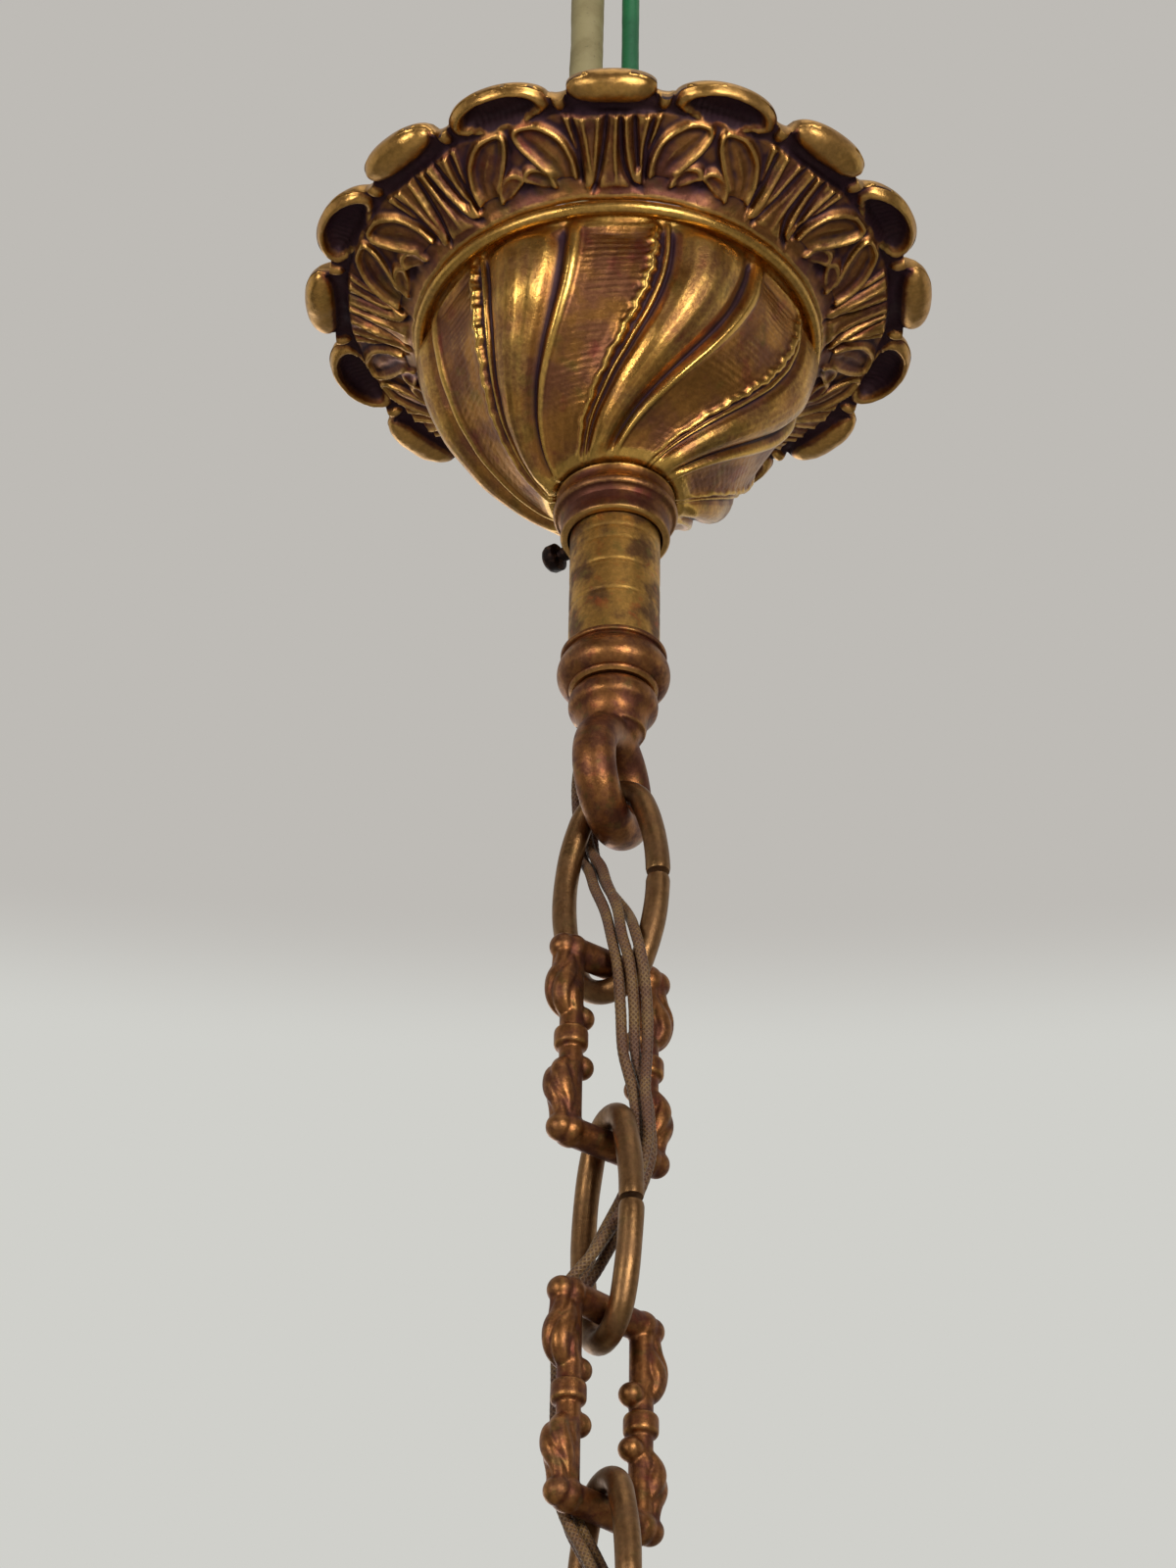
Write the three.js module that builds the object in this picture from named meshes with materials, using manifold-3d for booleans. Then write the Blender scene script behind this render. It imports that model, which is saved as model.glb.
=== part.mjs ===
// The hanging set of an old gilt bronze chandelier: ceiling ring, stem, cast canopy,
// thick eye and a chain of plain wire links and cast ornate links, with the wiring
// that runs through the stem and is woven down the chain.
// Millimetres, +Z up. The origin is where the ceiling hook carries the ring.
// Angles are measured from the front (-Y) towards the right (+X).

import * as THREE from 'three';
import { mergeVertices } from 'three/addons/utils/BufferGeometryUtils.js';
import Module from 'manifold-3d';

const wasm = await Module();
wasm.setup();

// Driving dimensions
const clearance = 0.3; // between pieces that touch

const ringInside = 12.8; // diameter inside the ceiling ring
const ringWire = 5.2; // its wire
const ringCollarRadius = 6.6; // shoulder under the ring
const ringCollarHeight = 2.6;
const ringSpigotRadius = 4.9; // threaded foot
const ringSpigotLength = 4.6;

const stemRadius = 8.2; // brass tube
const stemBoreRadius = 6.2;
const stemLength = 80.9;
const stemFit = 0.3; // stem in its sockets, radially

const headRadius = 10; // coupling that joins ring and stem
const headChamberHeight = 7.2; // where the wires come in
const headChamberRadius = 5.5;
const headSocketDepth = 7.4;
const headEdge = 0.8; // chamfer
const wireHoleRadius = 3;

const couplingSocketDepth = 4.5; // lower coupling under the stem
const couplingHeight = 8.7;
const couplingFilletRadius = 9.5;
const couplingFilletHeight = 1.2;
const couplingGrooveRadius = 8.95;
const couplingBeadRadius = 10.1;
const couplingBeadHeight = 5.8;
const couplingFoot = 1; // neck left under the bead
const couplingEdge = 0.4; // slope between groove and fillet
const couplingNeckRadius = 7.9;
const couplingBoreRadius = 5.9;

const eyeSpigotRadius = 5.6;
const eyeSpigotLength = 3.9;
const eyeBeadRadius = 8; // bead over the eye
const eyeBeadRim = 6.8; // at its two ends
const eyeBeadHeight = 5;
const eyeTaperHeight = 3.6;
const eyeTaperRadius = 5.6;
const eyeRadius = 8.8; // centre line of the thick eye
const eyeWireRadius = 3.5;
const eyeBreadth = 1.14; // of its section, along the eye's own axis
const eyeSink = 2; // how far the eye goes into its taper
const eyeTurn = 68; // degrees, about Z
const eyeHoleTop = 9; // oblique wire hole, above and below the eye's bead
const eyeHoleFoot = 10.1;
const eyeHoleLean = 6.9; // how far it comes out from the axis
const eyeHoleTurn = -135.6; // degrees, back left

const canopyRadius = 59.4;
const canopyDepth = 62.5;
const canopyBareStem = 26.7; // stem seen between canopy and lower coupling
const lobeCount = 16; // scalloped lobes of the flange
const lobeNotch = 0.34; // how deep the notches between them are, as a share
const lobeStart = 50; // radius where the lobes begin
const backRimInner = 51.5; // flat back rim that meets the ceiling
const flangeWall = 2.3;
const flangeDrop = 13.2; // from the back rim to the inner edge's underside
const flangeBed = 5.2; // to the underside where the lobes begin
const lobeDrop = 6.2; // to the lowest part of a lobe
const lipDrop = 2.9; // to its outer edge
const flangeTurn = -2; // degrees, middle of the leaf lobe in front
const shellHollow = 2.2; // depth of the shell lobes
const leafRise = 0.5; // height of the leaves on the bed
const rimRingOut = 1.5; // from the dome's edge to the middle of the plain bead
const flangeSeat = 0.5; // from there to the flange's inner edge
const rimRingHeight = 2.4;
const domeRadius = 35.6;
const domeWall = 1.9;
const domeBulge = 2.2; // power of the dome's curve
const neckRadius = 12.3; // dome at the collar
const gadroonCount = 6; // spiral gadroons
const gadroonHeight = 1.8;
const gadroonShare = 0.46; // width of a gadroon, as a share of its pitch
const hollowShare = 0.35; // depth of the bands between, as a share of the height
const gadroonLag = 1.2; // how late the turn comes
const gadroonTurn = -46; // degrees, from rim to neck
const gadroonStart = 29; // degrees, ridge of the one right of the front
const collarRadius = 9.8;
const collarFlare = 1.6; // at its top
const collarHeight = 9.4;
const collarFit = 0.5; // collar on the stem, radially

const setScrewRadius = 1.3;
const setScrewHeadRadius = 2.6;
const setScrewHeadLength = 2.2;
const setScrewStandOff = 2.4; // gap left under the head
const setScrewRise = 2.1; // above the collar's lower edge
const setScrewTurn = 235; // degrees, back left

const linkWireRadius = 2.15; // plain split links
const linkHalfWidth = 9.4; // to the centre line
const linkHalfLength = 20.6;
const linkEndRadius = 6.8;
const linkCut = 1.15; // saw cut in the right arm

const castBarRadius = 2.5; // end bars of the cast links
const castBarSpacing = 35.9; // between the two bars' centres
const castPostOffset = 7.8; // posts from the middle
const castPostRadius = 2.1;
const castSwellWidth = 3.2;
const castSwellHeight = 6.3;
const castSwellOut = 1.9;
const castSwellRise = 9.2; // from the middle band
const castBallRadius = 1.9;
const castBallIn = 2.6;
const castBallRise = 4.9;
const castBandRadius = 2.9;
const castBandHeight = 3.8;
const castKnobRadius = 2.4;
const castKnobOut = 1.9;

const linkTurns = [-32, 35, -66, 42, -66]; // degrees, about Z, from the top

const flexDiameter = 1.9;
const supplyDiameter = 6.8;
const earthDiameter = 3.6;

const blockPitch = 6.9; // terminal blocks, three poles each
const blockBarrelRadius = 3.45;
const blockHeight = 14;
const blockFoot = 3.6; // from the poles' axes to the flat foot
const clampRadius = 2.2; // brass tube in each pole
const clampBoreRadius = 1.4;
const clampLength = 11;
const clampGrip = 1.4; // how far a wire goes into its clamp
const clampScrewRadius = 1.1;
const clampScrewRise = 3.4; // from the middle
const outletRadius = 13; // fitting on the ceiling where the cords go in
const outletHeight = 10;
const outletRecess = 3;

const turnedSides = 24;
const domeSides = 48;
const domeRings = 9;
const flangeSides = 64;

// Heights that follow, from the ring down
const ringRadius = (ringInside + ringWire) / 2;
const ringZ = -ringInside / 2;
const ringFootZ = ringZ - ringRadius;
const headTopZ = ringFootZ - ringCollarHeight - clearance;
const chamberTopZ = headTopZ - ringSpigotLength - clearance;
const chamberFloorZ = chamberTopZ - headChamberHeight;
const headBottomZ = chamberFloorZ - headSocketDepth;
const stemTopZ = chamberFloorZ - clearance;
const stemBottomZ = stemTopZ - stemLength;
const couplingFloorZ = stemBottomZ - clearance;
const couplingTopZ = couplingFloorZ + couplingSocketDepth;
const couplingBottomZ = couplingTopZ - couplingHeight;
const eyeTopZ = couplingBottomZ - clearance;
const eyeTaperZ = eyeTopZ - eyeBeadHeight - eyeTaperHeight;
const eyeZ = eyeTaperZ + eyeSink - eyeWireRadius - eyeRadius;
const canopyZ = couplingTopZ + canopyBareStem + canopyDepth;
const rimRingRadius = domeRadius + rimRingOut;
const flangeInner = rimRingRadius + flangeSeat;
const rimRingTop = -flangeDrop - clearance;
const rimRingBottom = rimRingTop - rimRingHeight;
const domeTop = rimRingBottom - clearance;
const collarTop = collarHeight - canopyDepth;
const domeBottom = collarTop + clearance;

const radians = THREE.MathUtils.degToRad;

// Materials, one for each kind of finish
const finish = (color, roughness, metalness) =>
  new THREE.MeshStandardMaterial({ color, roughness, metalness });
const giltBronze = finish(0x8a6428, 0.42, 1);
const wornBrass = finish(0x86683a, 0.5, 1);
const linkBronze = finish(0x7a5a30, 0.48, 1);
const blackSteel = finish(0x2a221c, 0.55, 1);
const plainBrass = finish(0xb08d4a, 0.4, 1);
const clothFlex = finish(0x7d5f37, 0.8, 0);
const creamSheath = finish(0xa5966e, 0.6, 0);
const greenSheath = finish(0x1e6e41, 0.5, 0);
const porcelain = finish(0xe6dfcb, 0.35, 0);

// Shared vertices merged, faces outwards
function closed(geometry) {
  geometry.deleteAttribute('normal');
  geometry.deleteAttribute('uv');
  const merged = mergeVertices(geometry, 1e-4);
  const place = merged.attributes.position;
  const index = [];
  const corners = [new THREE.Vector3(), new THREE.Vector3(), new THREE.Vector3()];
  let volume = 0;
  for (let i = 0; i < merged.index.count; i += 3) {
    const face = [0, 1, 2].map((k) => merged.index.getX(i + k));
    if (face[0] === face[1] || face[1] === face[2] || face[0] === face[2]) continue;
    face.forEach((v, k) => corners[k].fromBufferAttribute(place, v));
    volume += corners[0].dot(corners[1].clone().cross(corners[2]));
    index.push(...face);
  }
  merged.setIndex(volume < 0 ? index.reverse() : index);
  return merged;
}

function toSolid(geometry) {
  const body = closed(geometry);
  return new wasm.Manifold(new wasm.Mesh({
    numProp: 3,
    vertProperties: Float32Array.from(body.attributes.position.array),
    triVerts: Uint32Array.from(body.index.array),
  }));
}

function toGeometry(solid) {
  const mesh = solid.getMesh();
  const geometry = new THREE.BufferGeometry();
  geometry.setAttribute('position', new THREE.BufferAttribute(mesh.vertProperties, 3));
  geometry.setIndex(new THREE.BufferAttribute(mesh.triVerts, 1));
  return geometry;
}

const joined = (parts) => toGeometry(parts.map(toSolid).reduce((a, b) => a.add(b)));
const cut = (body, tools) =>
  toGeometry(tools.map(toSolid).reduce((a, b) => a.subtract(b), toSolid(body)));

// A turned piece about Z from its [radius, height] points, the section closed on itself
function turned(profile, sides = turnedSides, axis = false) {
  const points = profile.map(([r, z]) => new THREE.Vector2(r, z));
  if (!axis) points.push(points[0].clone());
  return new THREE.LatheGeometry(points, sides).rotateX(Math.PI / 2);
}

// Points of a half-round bead from one [radius, height] to another
function bead(from, to, widest, count) {
  const bulge = widest - (from[0] + to[0]) / 2;
  const points = [];
  for (let i = 0; i <= count; i++) {
    const t = Math.PI * (i / count);
    const share = (1 - Math.cos(t)) / 2;
    points.push([
      THREE.MathUtils.lerp(from[0], to[0], share) + bulge * Math.sin(t),
      THREE.MathUtils.lerp(from[1], to[1], share),
    ]);
  }
  return points;
}

function roundSection(radius, sides) {
  const points = [];
  for (let i = 0; i < sides; i++) {
    const a = (2 * Math.PI * (i + 0.5)) / sides;
    points.push(new THREE.Vector2(radius * Math.cos(a), radius * Math.sin(a)));
  }
  return new THREE.Shape(points);
}

const tube = (curve, radius, sides, steps) =>
  new THREE.ExtrudeGeometry(roundSection(radius, sides), { steps, extrudePath: curve });

// A straight rod between two points
function rod(from, to, radius, sides = 12) {
  const a = new THREE.Vector3(...from);
  const b = new THREE.Vector3(...to);
  const piece = new THREE.CylinderGeometry(radius, radius, a.distanceTo(b), sides);
  const turn = new THREE.Quaternion().setFromUnitVectors(
    new THREE.Vector3(0, 1, 0), b.clone().sub(a).normalize());
  return piece.applyQuaternion(turn).translate(...a.add(b).multiplyScalar(0.5));
}

const ball = (radius, x, y, z, wide = 6, high = 4) =>
  new THREE.SphereGeometry(radius, wide, high).rotateX(Math.PI / 2).translate(x, y, z);

function piece(name, geometry, material, parent) {
  const mesh = new THREE.Mesh(closed(geometry), material);
  mesh.name = name;
  parent.add(mesh);
  return mesh;
}

// Ceiling ring, with a shoulder and a threaded foot
function ceilingRing() {
  const ring = new THREE.TorusGeometry(ringRadius, ringWire / 2, 8, 20)
    .rotateX(Math.PI / 2).translate(0, 0, ringZ);
  const shoulderTop = ringFootZ + ringWire / 4;
  const shoulderBottom = ringFootZ - ringCollarHeight;
  const foot = turned([
    [0, shoulderTop],
    [ringSpigotRadius, shoulderTop],
    [ringCollarRadius, shoulderTop - 1.2],
    [ringCollarRadius, shoulderBottom],
    [ringSpigotRadius, shoulderBottom],
    [ringSpigotRadius, shoulderBottom - ringSpigotLength],
    [0, shoulderBottom - ringSpigotLength],
  ], 20, true);
  return joined([ring, foot]);
}

// Coupling between ring and stem, with the wires' hole at the back
function headCoupling() {
  const body = turned([
    [ringSpigotRadius + clearance, headTopZ],
    [headRadius - headEdge, headTopZ],
    [headRadius, headTopZ - headEdge],
    [headRadius, headBottomZ + headEdge],
    [headRadius - headEdge, headBottomZ],
    [stemRadius + stemFit, headBottomZ],
    [stemRadius + stemFit, chamberFloorZ],
    [headChamberRadius, chamberFloorZ],
    [headChamberRadius, chamberTopZ],
    [ringSpigotRadius + clearance, chamberTopZ],
  ], 20);
  const holeZ = chamberTopZ - headChamberHeight / 2;
  return cut(body, [rod([0, headChamberRadius / 2, holeZ], [0, headRadius + 3, holeZ], wireHoleRadius)]);
}

const stemTube = () => turned([
  [stemBoreRadius, stemBottomZ],
  [stemRadius, stemBottomZ],
  [stemRadius, stemTopZ],
  [stemBoreRadius, stemTopZ],
], 28);

// Turned coupling under the stem: fillet, groove, big bead and neck
function lowerCoupling() {
  const grooveTop = couplingTopZ - couplingFilletHeight;
  const beadBottom = couplingBottomZ + couplingFoot;
  const beadTop = beadBottom + couplingBeadHeight;
  return turned([
    [couplingBoreRadius, couplingBottomZ],
    [couplingNeckRadius, couplingBottomZ],
    ...bead([couplingNeckRadius, beadBottom], [couplingGrooveRadius, beadTop], couplingBeadRadius, 4),
    [couplingGrooveRadius, grooveTop],
    [couplingFilletRadius, grooveTop + couplingEdge],
    [couplingFilletRadius, couplingTopZ],
    [stemRadius + stemFit, couplingTopZ],
    [stemRadius + stemFit, couplingFloorZ],
    [couplingBoreRadius, couplingFloorZ],
  ], 20);
}

// Thick eye under its bead, screwed into the coupling, drilled obliquely for the wires
function suspensionEye() {
  const spigotTop = eyeTopZ + eyeSpigotLength;
  const beadEnd = eyeTopZ - eyeBeadHeight;
  const stock = turned([
    [0, spigotTop],
    [eyeSpigotRadius, spigotTop],
    [eyeSpigotRadius, eyeTopZ],
    ...bead([eyeBeadRim, eyeTopZ], [eyeBeadRim, beadEnd], eyeBeadRadius, 5),
    [eyeTaperRadius + 0.2, beadEnd - eyeTaperHeight / 2],
    [eyeTaperRadius, eyeTaperZ],
    [0, eyeTaperZ],
  ], 20, true);
  const eye = new THREE.TorusGeometry(eyeRadius, eyeWireRadius, 8, 20).scale(1, 1, eyeBreadth)
    .rotateX(Math.PI / 2).rotateZ(radians(eyeTurn)).translate(0, 0, eyeZ);
  const hole = rod([0, 0, eyeTopZ + eyeHoleTop],
    outwards(eyeHoleTurn, eyeHoleLean, eyeTopZ - eyeHoleFoot), wireHoleRadius);
  return cut(joined([stock, eye]), [hole]);
}

// Shape of the canopy's flange, all round: 1 on a leaf lobe, -1 on a shell lobe, 0 in a notch
const lobeWave = (angle) => Math.cos((lobeCount / 2) * angle);

// Height of the flange's underside below the back rim
function flangeUnderside(r) {
  const t = (r - flangeInner) / (lobeStart - flangeInner);
  return -THREE.MathUtils.lerp(flangeDrop, flangeBed, Math.min(t, 1));
}

function canopyFlange() {
  const radii = [0, 0.25, 0.55, 0.85].map((t) => THREE.MathUtils.lerp(flangeInner, lobeStart, t));
  const lip = canopyRadius - lobeStart;
  const profile = [
    ...radii.map((r) => [r, flangeUnderside(r)]),
    [lobeStart + lip * 0.2, -(flangeBed + lobeDrop) / 2],
    [lobeStart + lip * 0.5, -lobeDrop],
    [lobeStart + lip * 0.82, -lobeDrop * 0.8],
    [canopyRadius, -lipDrop],
    [canopyRadius - lip * 0.08, -lipDrop * 0.3],
    [canopyRadius - lip * 0.24, 0],
    [backRimInner, 0],
    [lobeStart - 1, flangeWall + 1 - flangeBed],
    ...radii.slice(0, 2).reverse().map((r) => [r, flangeUnderside(r) + flangeWall]),
  ];
  const flange = turned(profile, flangeSides);
  const place = flange.attributes.position;
  for (let i = 0; i < place.count; i++) {
    const [x, y, z] = [place.getX(i), place.getY(i), place.getZ(i)];
    const r = Math.hypot(x, y);
    const wave = lobeWave(Math.atan2(x, -y));
    const notch = 1 - Math.abs(wave) ** 0.7;
    const under = z < -0.01 && r > flangeInner + 0.5;
    let newR = r;
    let newZ = z;
    if (r > backRimInner + 0.1) {
      newR = lobeStart + (r - lobeStart) * (1 - lobeNotch * notch);
      newZ = z * (1 - 0.3 * notch);
    }
    const shell = Math.max(0, -wave);
    const middle = Math.max(0, 1 - Math.abs(r - lobeStart - lip * 0.4) / (lip * 0.45));
    if (under && z < -lobeDrop * 0.75) newZ += shellHollow * shell * middle;
    const bed = r < lobeStart - 0.5 && z < flangeUnderside(r) + 0.5;
    if (under && bed) newZ -= leafRise * wave;
    place.setXYZ(i, (x / r) * newR, (y / r) * newR, newZ);
  }
  return flange.rotateZ(radians(flangeTurn));
}

function canopyRimRing() {
  const half = rimRingHeight / 2;
  const points = [];
  for (let i = 0; i < 6; i++) {
    const a = (2 * Math.PI * (i + 0.5)) / 6;
    points.push([rimRingRadius + half * 1.1 * Math.sin(a), (half / Math.cos(Math.PI / 6)) * Math.cos(a)]);
  }
  return turned(points.map(([r, z]) => [r, rimRingTop - half + z]), 32);
}

// The smooth dome's outside, t from 0 at its rim to 1 at the neck
function domeSection(t) {
  const r = THREE.MathUtils.lerp(domeRadius, neckRadius, t ** domeBulge);
  return [r, THREE.MathUtils.lerp(domeTop, domeBottom, t)];
}

// Relief of the spiral gadroons over the smooth dome, u in turns of one gadroon
function gadroon(u) {
  const v = Math.abs(u - Math.round(u));
  if (v < gadroonShare / 2) return Math.cos((Math.PI * v) / gadroonShare) ** 0.8;
  const across = (v - gadroonShare / 2) / (1 - gadroonShare);
  return -hollowShare * Math.max(0, Math.sin(Math.PI * across)) ** 0.6;
}

// Ribbed dome: each ring of points is turned on the one above, so the gadroons spiral
function canopyDome() {
  const outer = [];
  for (let i = 0; i <= domeRings; i++) outer.push(domeSection(i / domeRings));
  const inner = outer.filter((_, i) => i % 2 === 0 || i === domeRings)
    .map(([r, z]) => [r - domeWall, z]).reverse();
  const dome = turned([...outer, ...inner], domeSides);
  const place = dome.attributes.position;
  for (let i = 0; i < place.count; i++) {
    const [x, y, z] = [place.getX(i), place.getY(i), place.getZ(i)];
    const r = Math.hypot(x, y);
    const t = THREE.MathUtils.clamp((z - domeTop) / (domeBottom - domeTop), 0, 1);
    const outside = Math.abs(r - domeSection(t)[0]) < domeWall / 2;
    const angle = THREE.MathUtils.radToDeg(Math.atan2(x, -y));
    const turn = angle + gadroonStart + gadroonTurn * t ** (domeBulge * gadroonLag);
    const relief = gadroon((angle * gadroonCount) / 360);
    const fade = Math.sin(Math.PI * Math.min(1, 0.14 + 0.8 * t)) ** 0.7;
    const newR = outside ? r + gadroonHeight * fade * relief : r;
    place.setXYZ(i, ...outwards(turn, newR, z));
  }
  return dome;
}

// Neck collar, drilled for the set screw
function canopyCollar() {
  const low = -canopyDepth;
  const body = turned([
    [stemRadius + collarFit, low],
    [collarRadius - 0.4, low],
    [collarRadius, low + 0.5],
    [collarRadius, low + collarHeight * 0.5],
    [collarRadius + collarFlare * 0.35, low + collarHeight * 0.75],
    [collarRadius + collarFlare, collarTop - 0.8],
    [collarRadius + collarFlare, collarTop],
    [stemRadius + collarFit, collarTop],
  ]);
  const z = low + setScrewRise;
  const hole = rod(outwards(setScrewTurn, 0, z), outwards(setScrewTurn, collarRadius * 1.3, z),
    setScrewRadius + clearance, 10);
  return cut(body, [hole]);
}

// A point at a distance from the axis, in a direction measured from the front
function outwards(degrees, distance, z) {
  const a = radians(degrees);
  return [distance * Math.sin(a), -distance * Math.cos(a), z];
}

// Round-headed set screw, lying along +X from its tip
function setScrew() {
  const shank = collarRadius - stemRadius + setScrewStandOff - clearance;
  const half = setScrewHeadLength;
  const profile = [
    [0, 0],
    [setScrewRadius - 0.3, 0],
    [setScrewRadius, 0.4],
    [setScrewRadius, shank],
    [setScrewHeadRadius, shank + 0.2],
    [setScrewHeadRadius, shank + half],
    [setScrewHeadRadius * 0.8, shank + half + 0.8],
    [setScrewHeadRadius * 0.4, shank + half + 1.2],
    [0, shank + half + 1.3],
  ];
  const slot = new THREE.BoxGeometry(0.7, 6, 1.2).translate(0, 0, shank + half + 1.3);
  return cut(turned(profile, 14, true), [slot]).rotateY(Math.PI / 2);
}

// Plain link: an oval drawn with four arcs, open at the saw cut in its right arm
function plainLink() {
  const [a, b, e] = [linkHalfWidth, linkHalfLength, linkEndRadius];
  const side = (a * a + (b - e) ** 2 - e * e) / (2 * (a - e));
  const turn = Math.asin((b - e) / (side - e));
  const gap = linkCut / 2 / side;
  const path = new THREE.Path();
  path.absarc(a - side, 0, side, gap, turn);
  path.absarc(0, b - e, e, turn, Math.PI - turn);
  path.absarc(side - a, 0, side, Math.PI - turn, Math.PI + turn);
  path.absarc(0, e - b, e, Math.PI + turn, 2 * Math.PI - turn);
  path.absarc(a - side, 0, side, 2 * Math.PI - turn, 2 * Math.PI - gap);
  const points = path.getSpacedPoints(96).map((p) => new THREE.Vector3(p.x, 0, p.y));
  return tube(new THREE.CatmullRomCurve3(points), linkWireRadius, 8, 28);
}

// Cast link: two end bars and two posts of scrolled leaves, balls and a middle band
function castLink() {
  const barZ = castBarSpacing / 2;
  const parts = [];
  for (const end of [-1, 1]) {
    const z = end * barZ;
    const reach = castPostOffset + castKnobOut;
    parts.push(rod([-castPostOffset, 0, z], [castPostOffset, 0, z], castBarRadius, 8));
    for (const hand of [-1, 1]) {
      const post = hand * castPostOffset;
      const swell = new THREE.SphereGeometry(1, 7, 5).rotateX(Math.PI / 2)
        .scale(castSwellWidth, castSwellWidth, castSwellHeight)
        .translate(post + hand * castSwellOut, 0, end * castSwellRise);
      parts.push(swell);
      parts.push(ball(castBallRadius, post - hand * castBallIn, 0, end * castBallRise));
      parts.push(ball(castKnobRadius, hand * reach, 0, z, 7, 5));
    }
  }
  for (const hand of [-1, 1]) {
    const x = hand * castPostOffset;
    parts.push(rod([x, 0, -barZ], [x, 0, barZ], castPostRadius, 8));
    parts.push(rod([x, 0, -castBandHeight / 2], [x, 0, castBandHeight / 2], castBandRadius, 8));
  }
  return joined(parts);
}

// Terminal block for three wires that enter along Z, its flat foot towards -Y
function terminalBlock(parent, name) {
  const reach = blockPitch + blockBarrelRadius;
  const outline = new THREE.Shape();
  outline.moveTo(-reach, 0);
  outline.lineTo(-reach, -blockFoot);
  outline.lineTo(reach, -blockFoot);
  outline.lineTo(reach, 0);
  for (const x of [blockPitch, 0, -blockPitch]) outline.absarc(x, 0, blockBarrelRadius, 0, Math.PI);
  const poles = [-blockPitch, 0, blockPitch];
  for (const x of poles) {
    const bore = new THREE.Path();
    bore.absarc(x, 0, clampRadius + clearance, 0, 2 * Math.PI);
    outline.holes.push(bore);
  }
  const body = new THREE.ExtrudeGeometry(outline, {
    depth: blockHeight, bevelEnabled: false, curveSegments: 4,
  }).translate(0, 0, -blockHeight / 2);
  const seats = [];
  poles.forEach((x, pole) => {
    const bore = new THREE.Path().absarc(0, 0, clampBoreRadius, 0, 2 * Math.PI);
    const ring = new THREE.Shape().absarc(0, 0, clampRadius, 0, 2 * Math.PI);
    ring.holes.push(bore);
    const clamp = new THREE.ExtrudeGeometry(ring, {
      depth: clampLength, bevelEnabled: false, curveSegments: 4,
    }).translate(x, 0, -clampLength / 2);
    const drills = [];
    for (const end of [-1, 1]) {
      const z = end * clampScrewRise;
      const hole = () => rod([x, clampBoreRadius / 2, z], [x, 6, z], clampScrewRadius + clearance, 6);
      drills.push(hole());
      seats.push(hole());
      const tip = clampBoreRadius - 0.2;
      const screw = rod([x, tip, z], [x, blockBarrelRadius - 0.6, z], clampScrewRadius, 6);
      piece(`${name}_screw_${pole + 1}${end > 0 ? 'a' : 'b'}`, screw, plainBrass, parent);
    }
    piece(`${name}_clamp_${pole + 1}`, cut(clamp, drills), plainBrass, parent);
  });
  piece(`${name}_body`, cut(body, seats), porcelain, parent);
}

// Small round fitting on the ceiling, with one hole for each cord
function ceilingOutlet(holes) {
  const body = turned([
    [0, 0],
    [outletRadius - 3, 0],
    [outletRadius - 0.8, 1.8],
    [outletRadius, 4.6],
    [outletRadius, outletHeight],
    [0, outletHeight],
  ], 24, true);
  return cut(body, holes.map(([x, y, r]) => rod([x, y, -1], [x, y, outletRecess], r + clearance, 12)));
}

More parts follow.
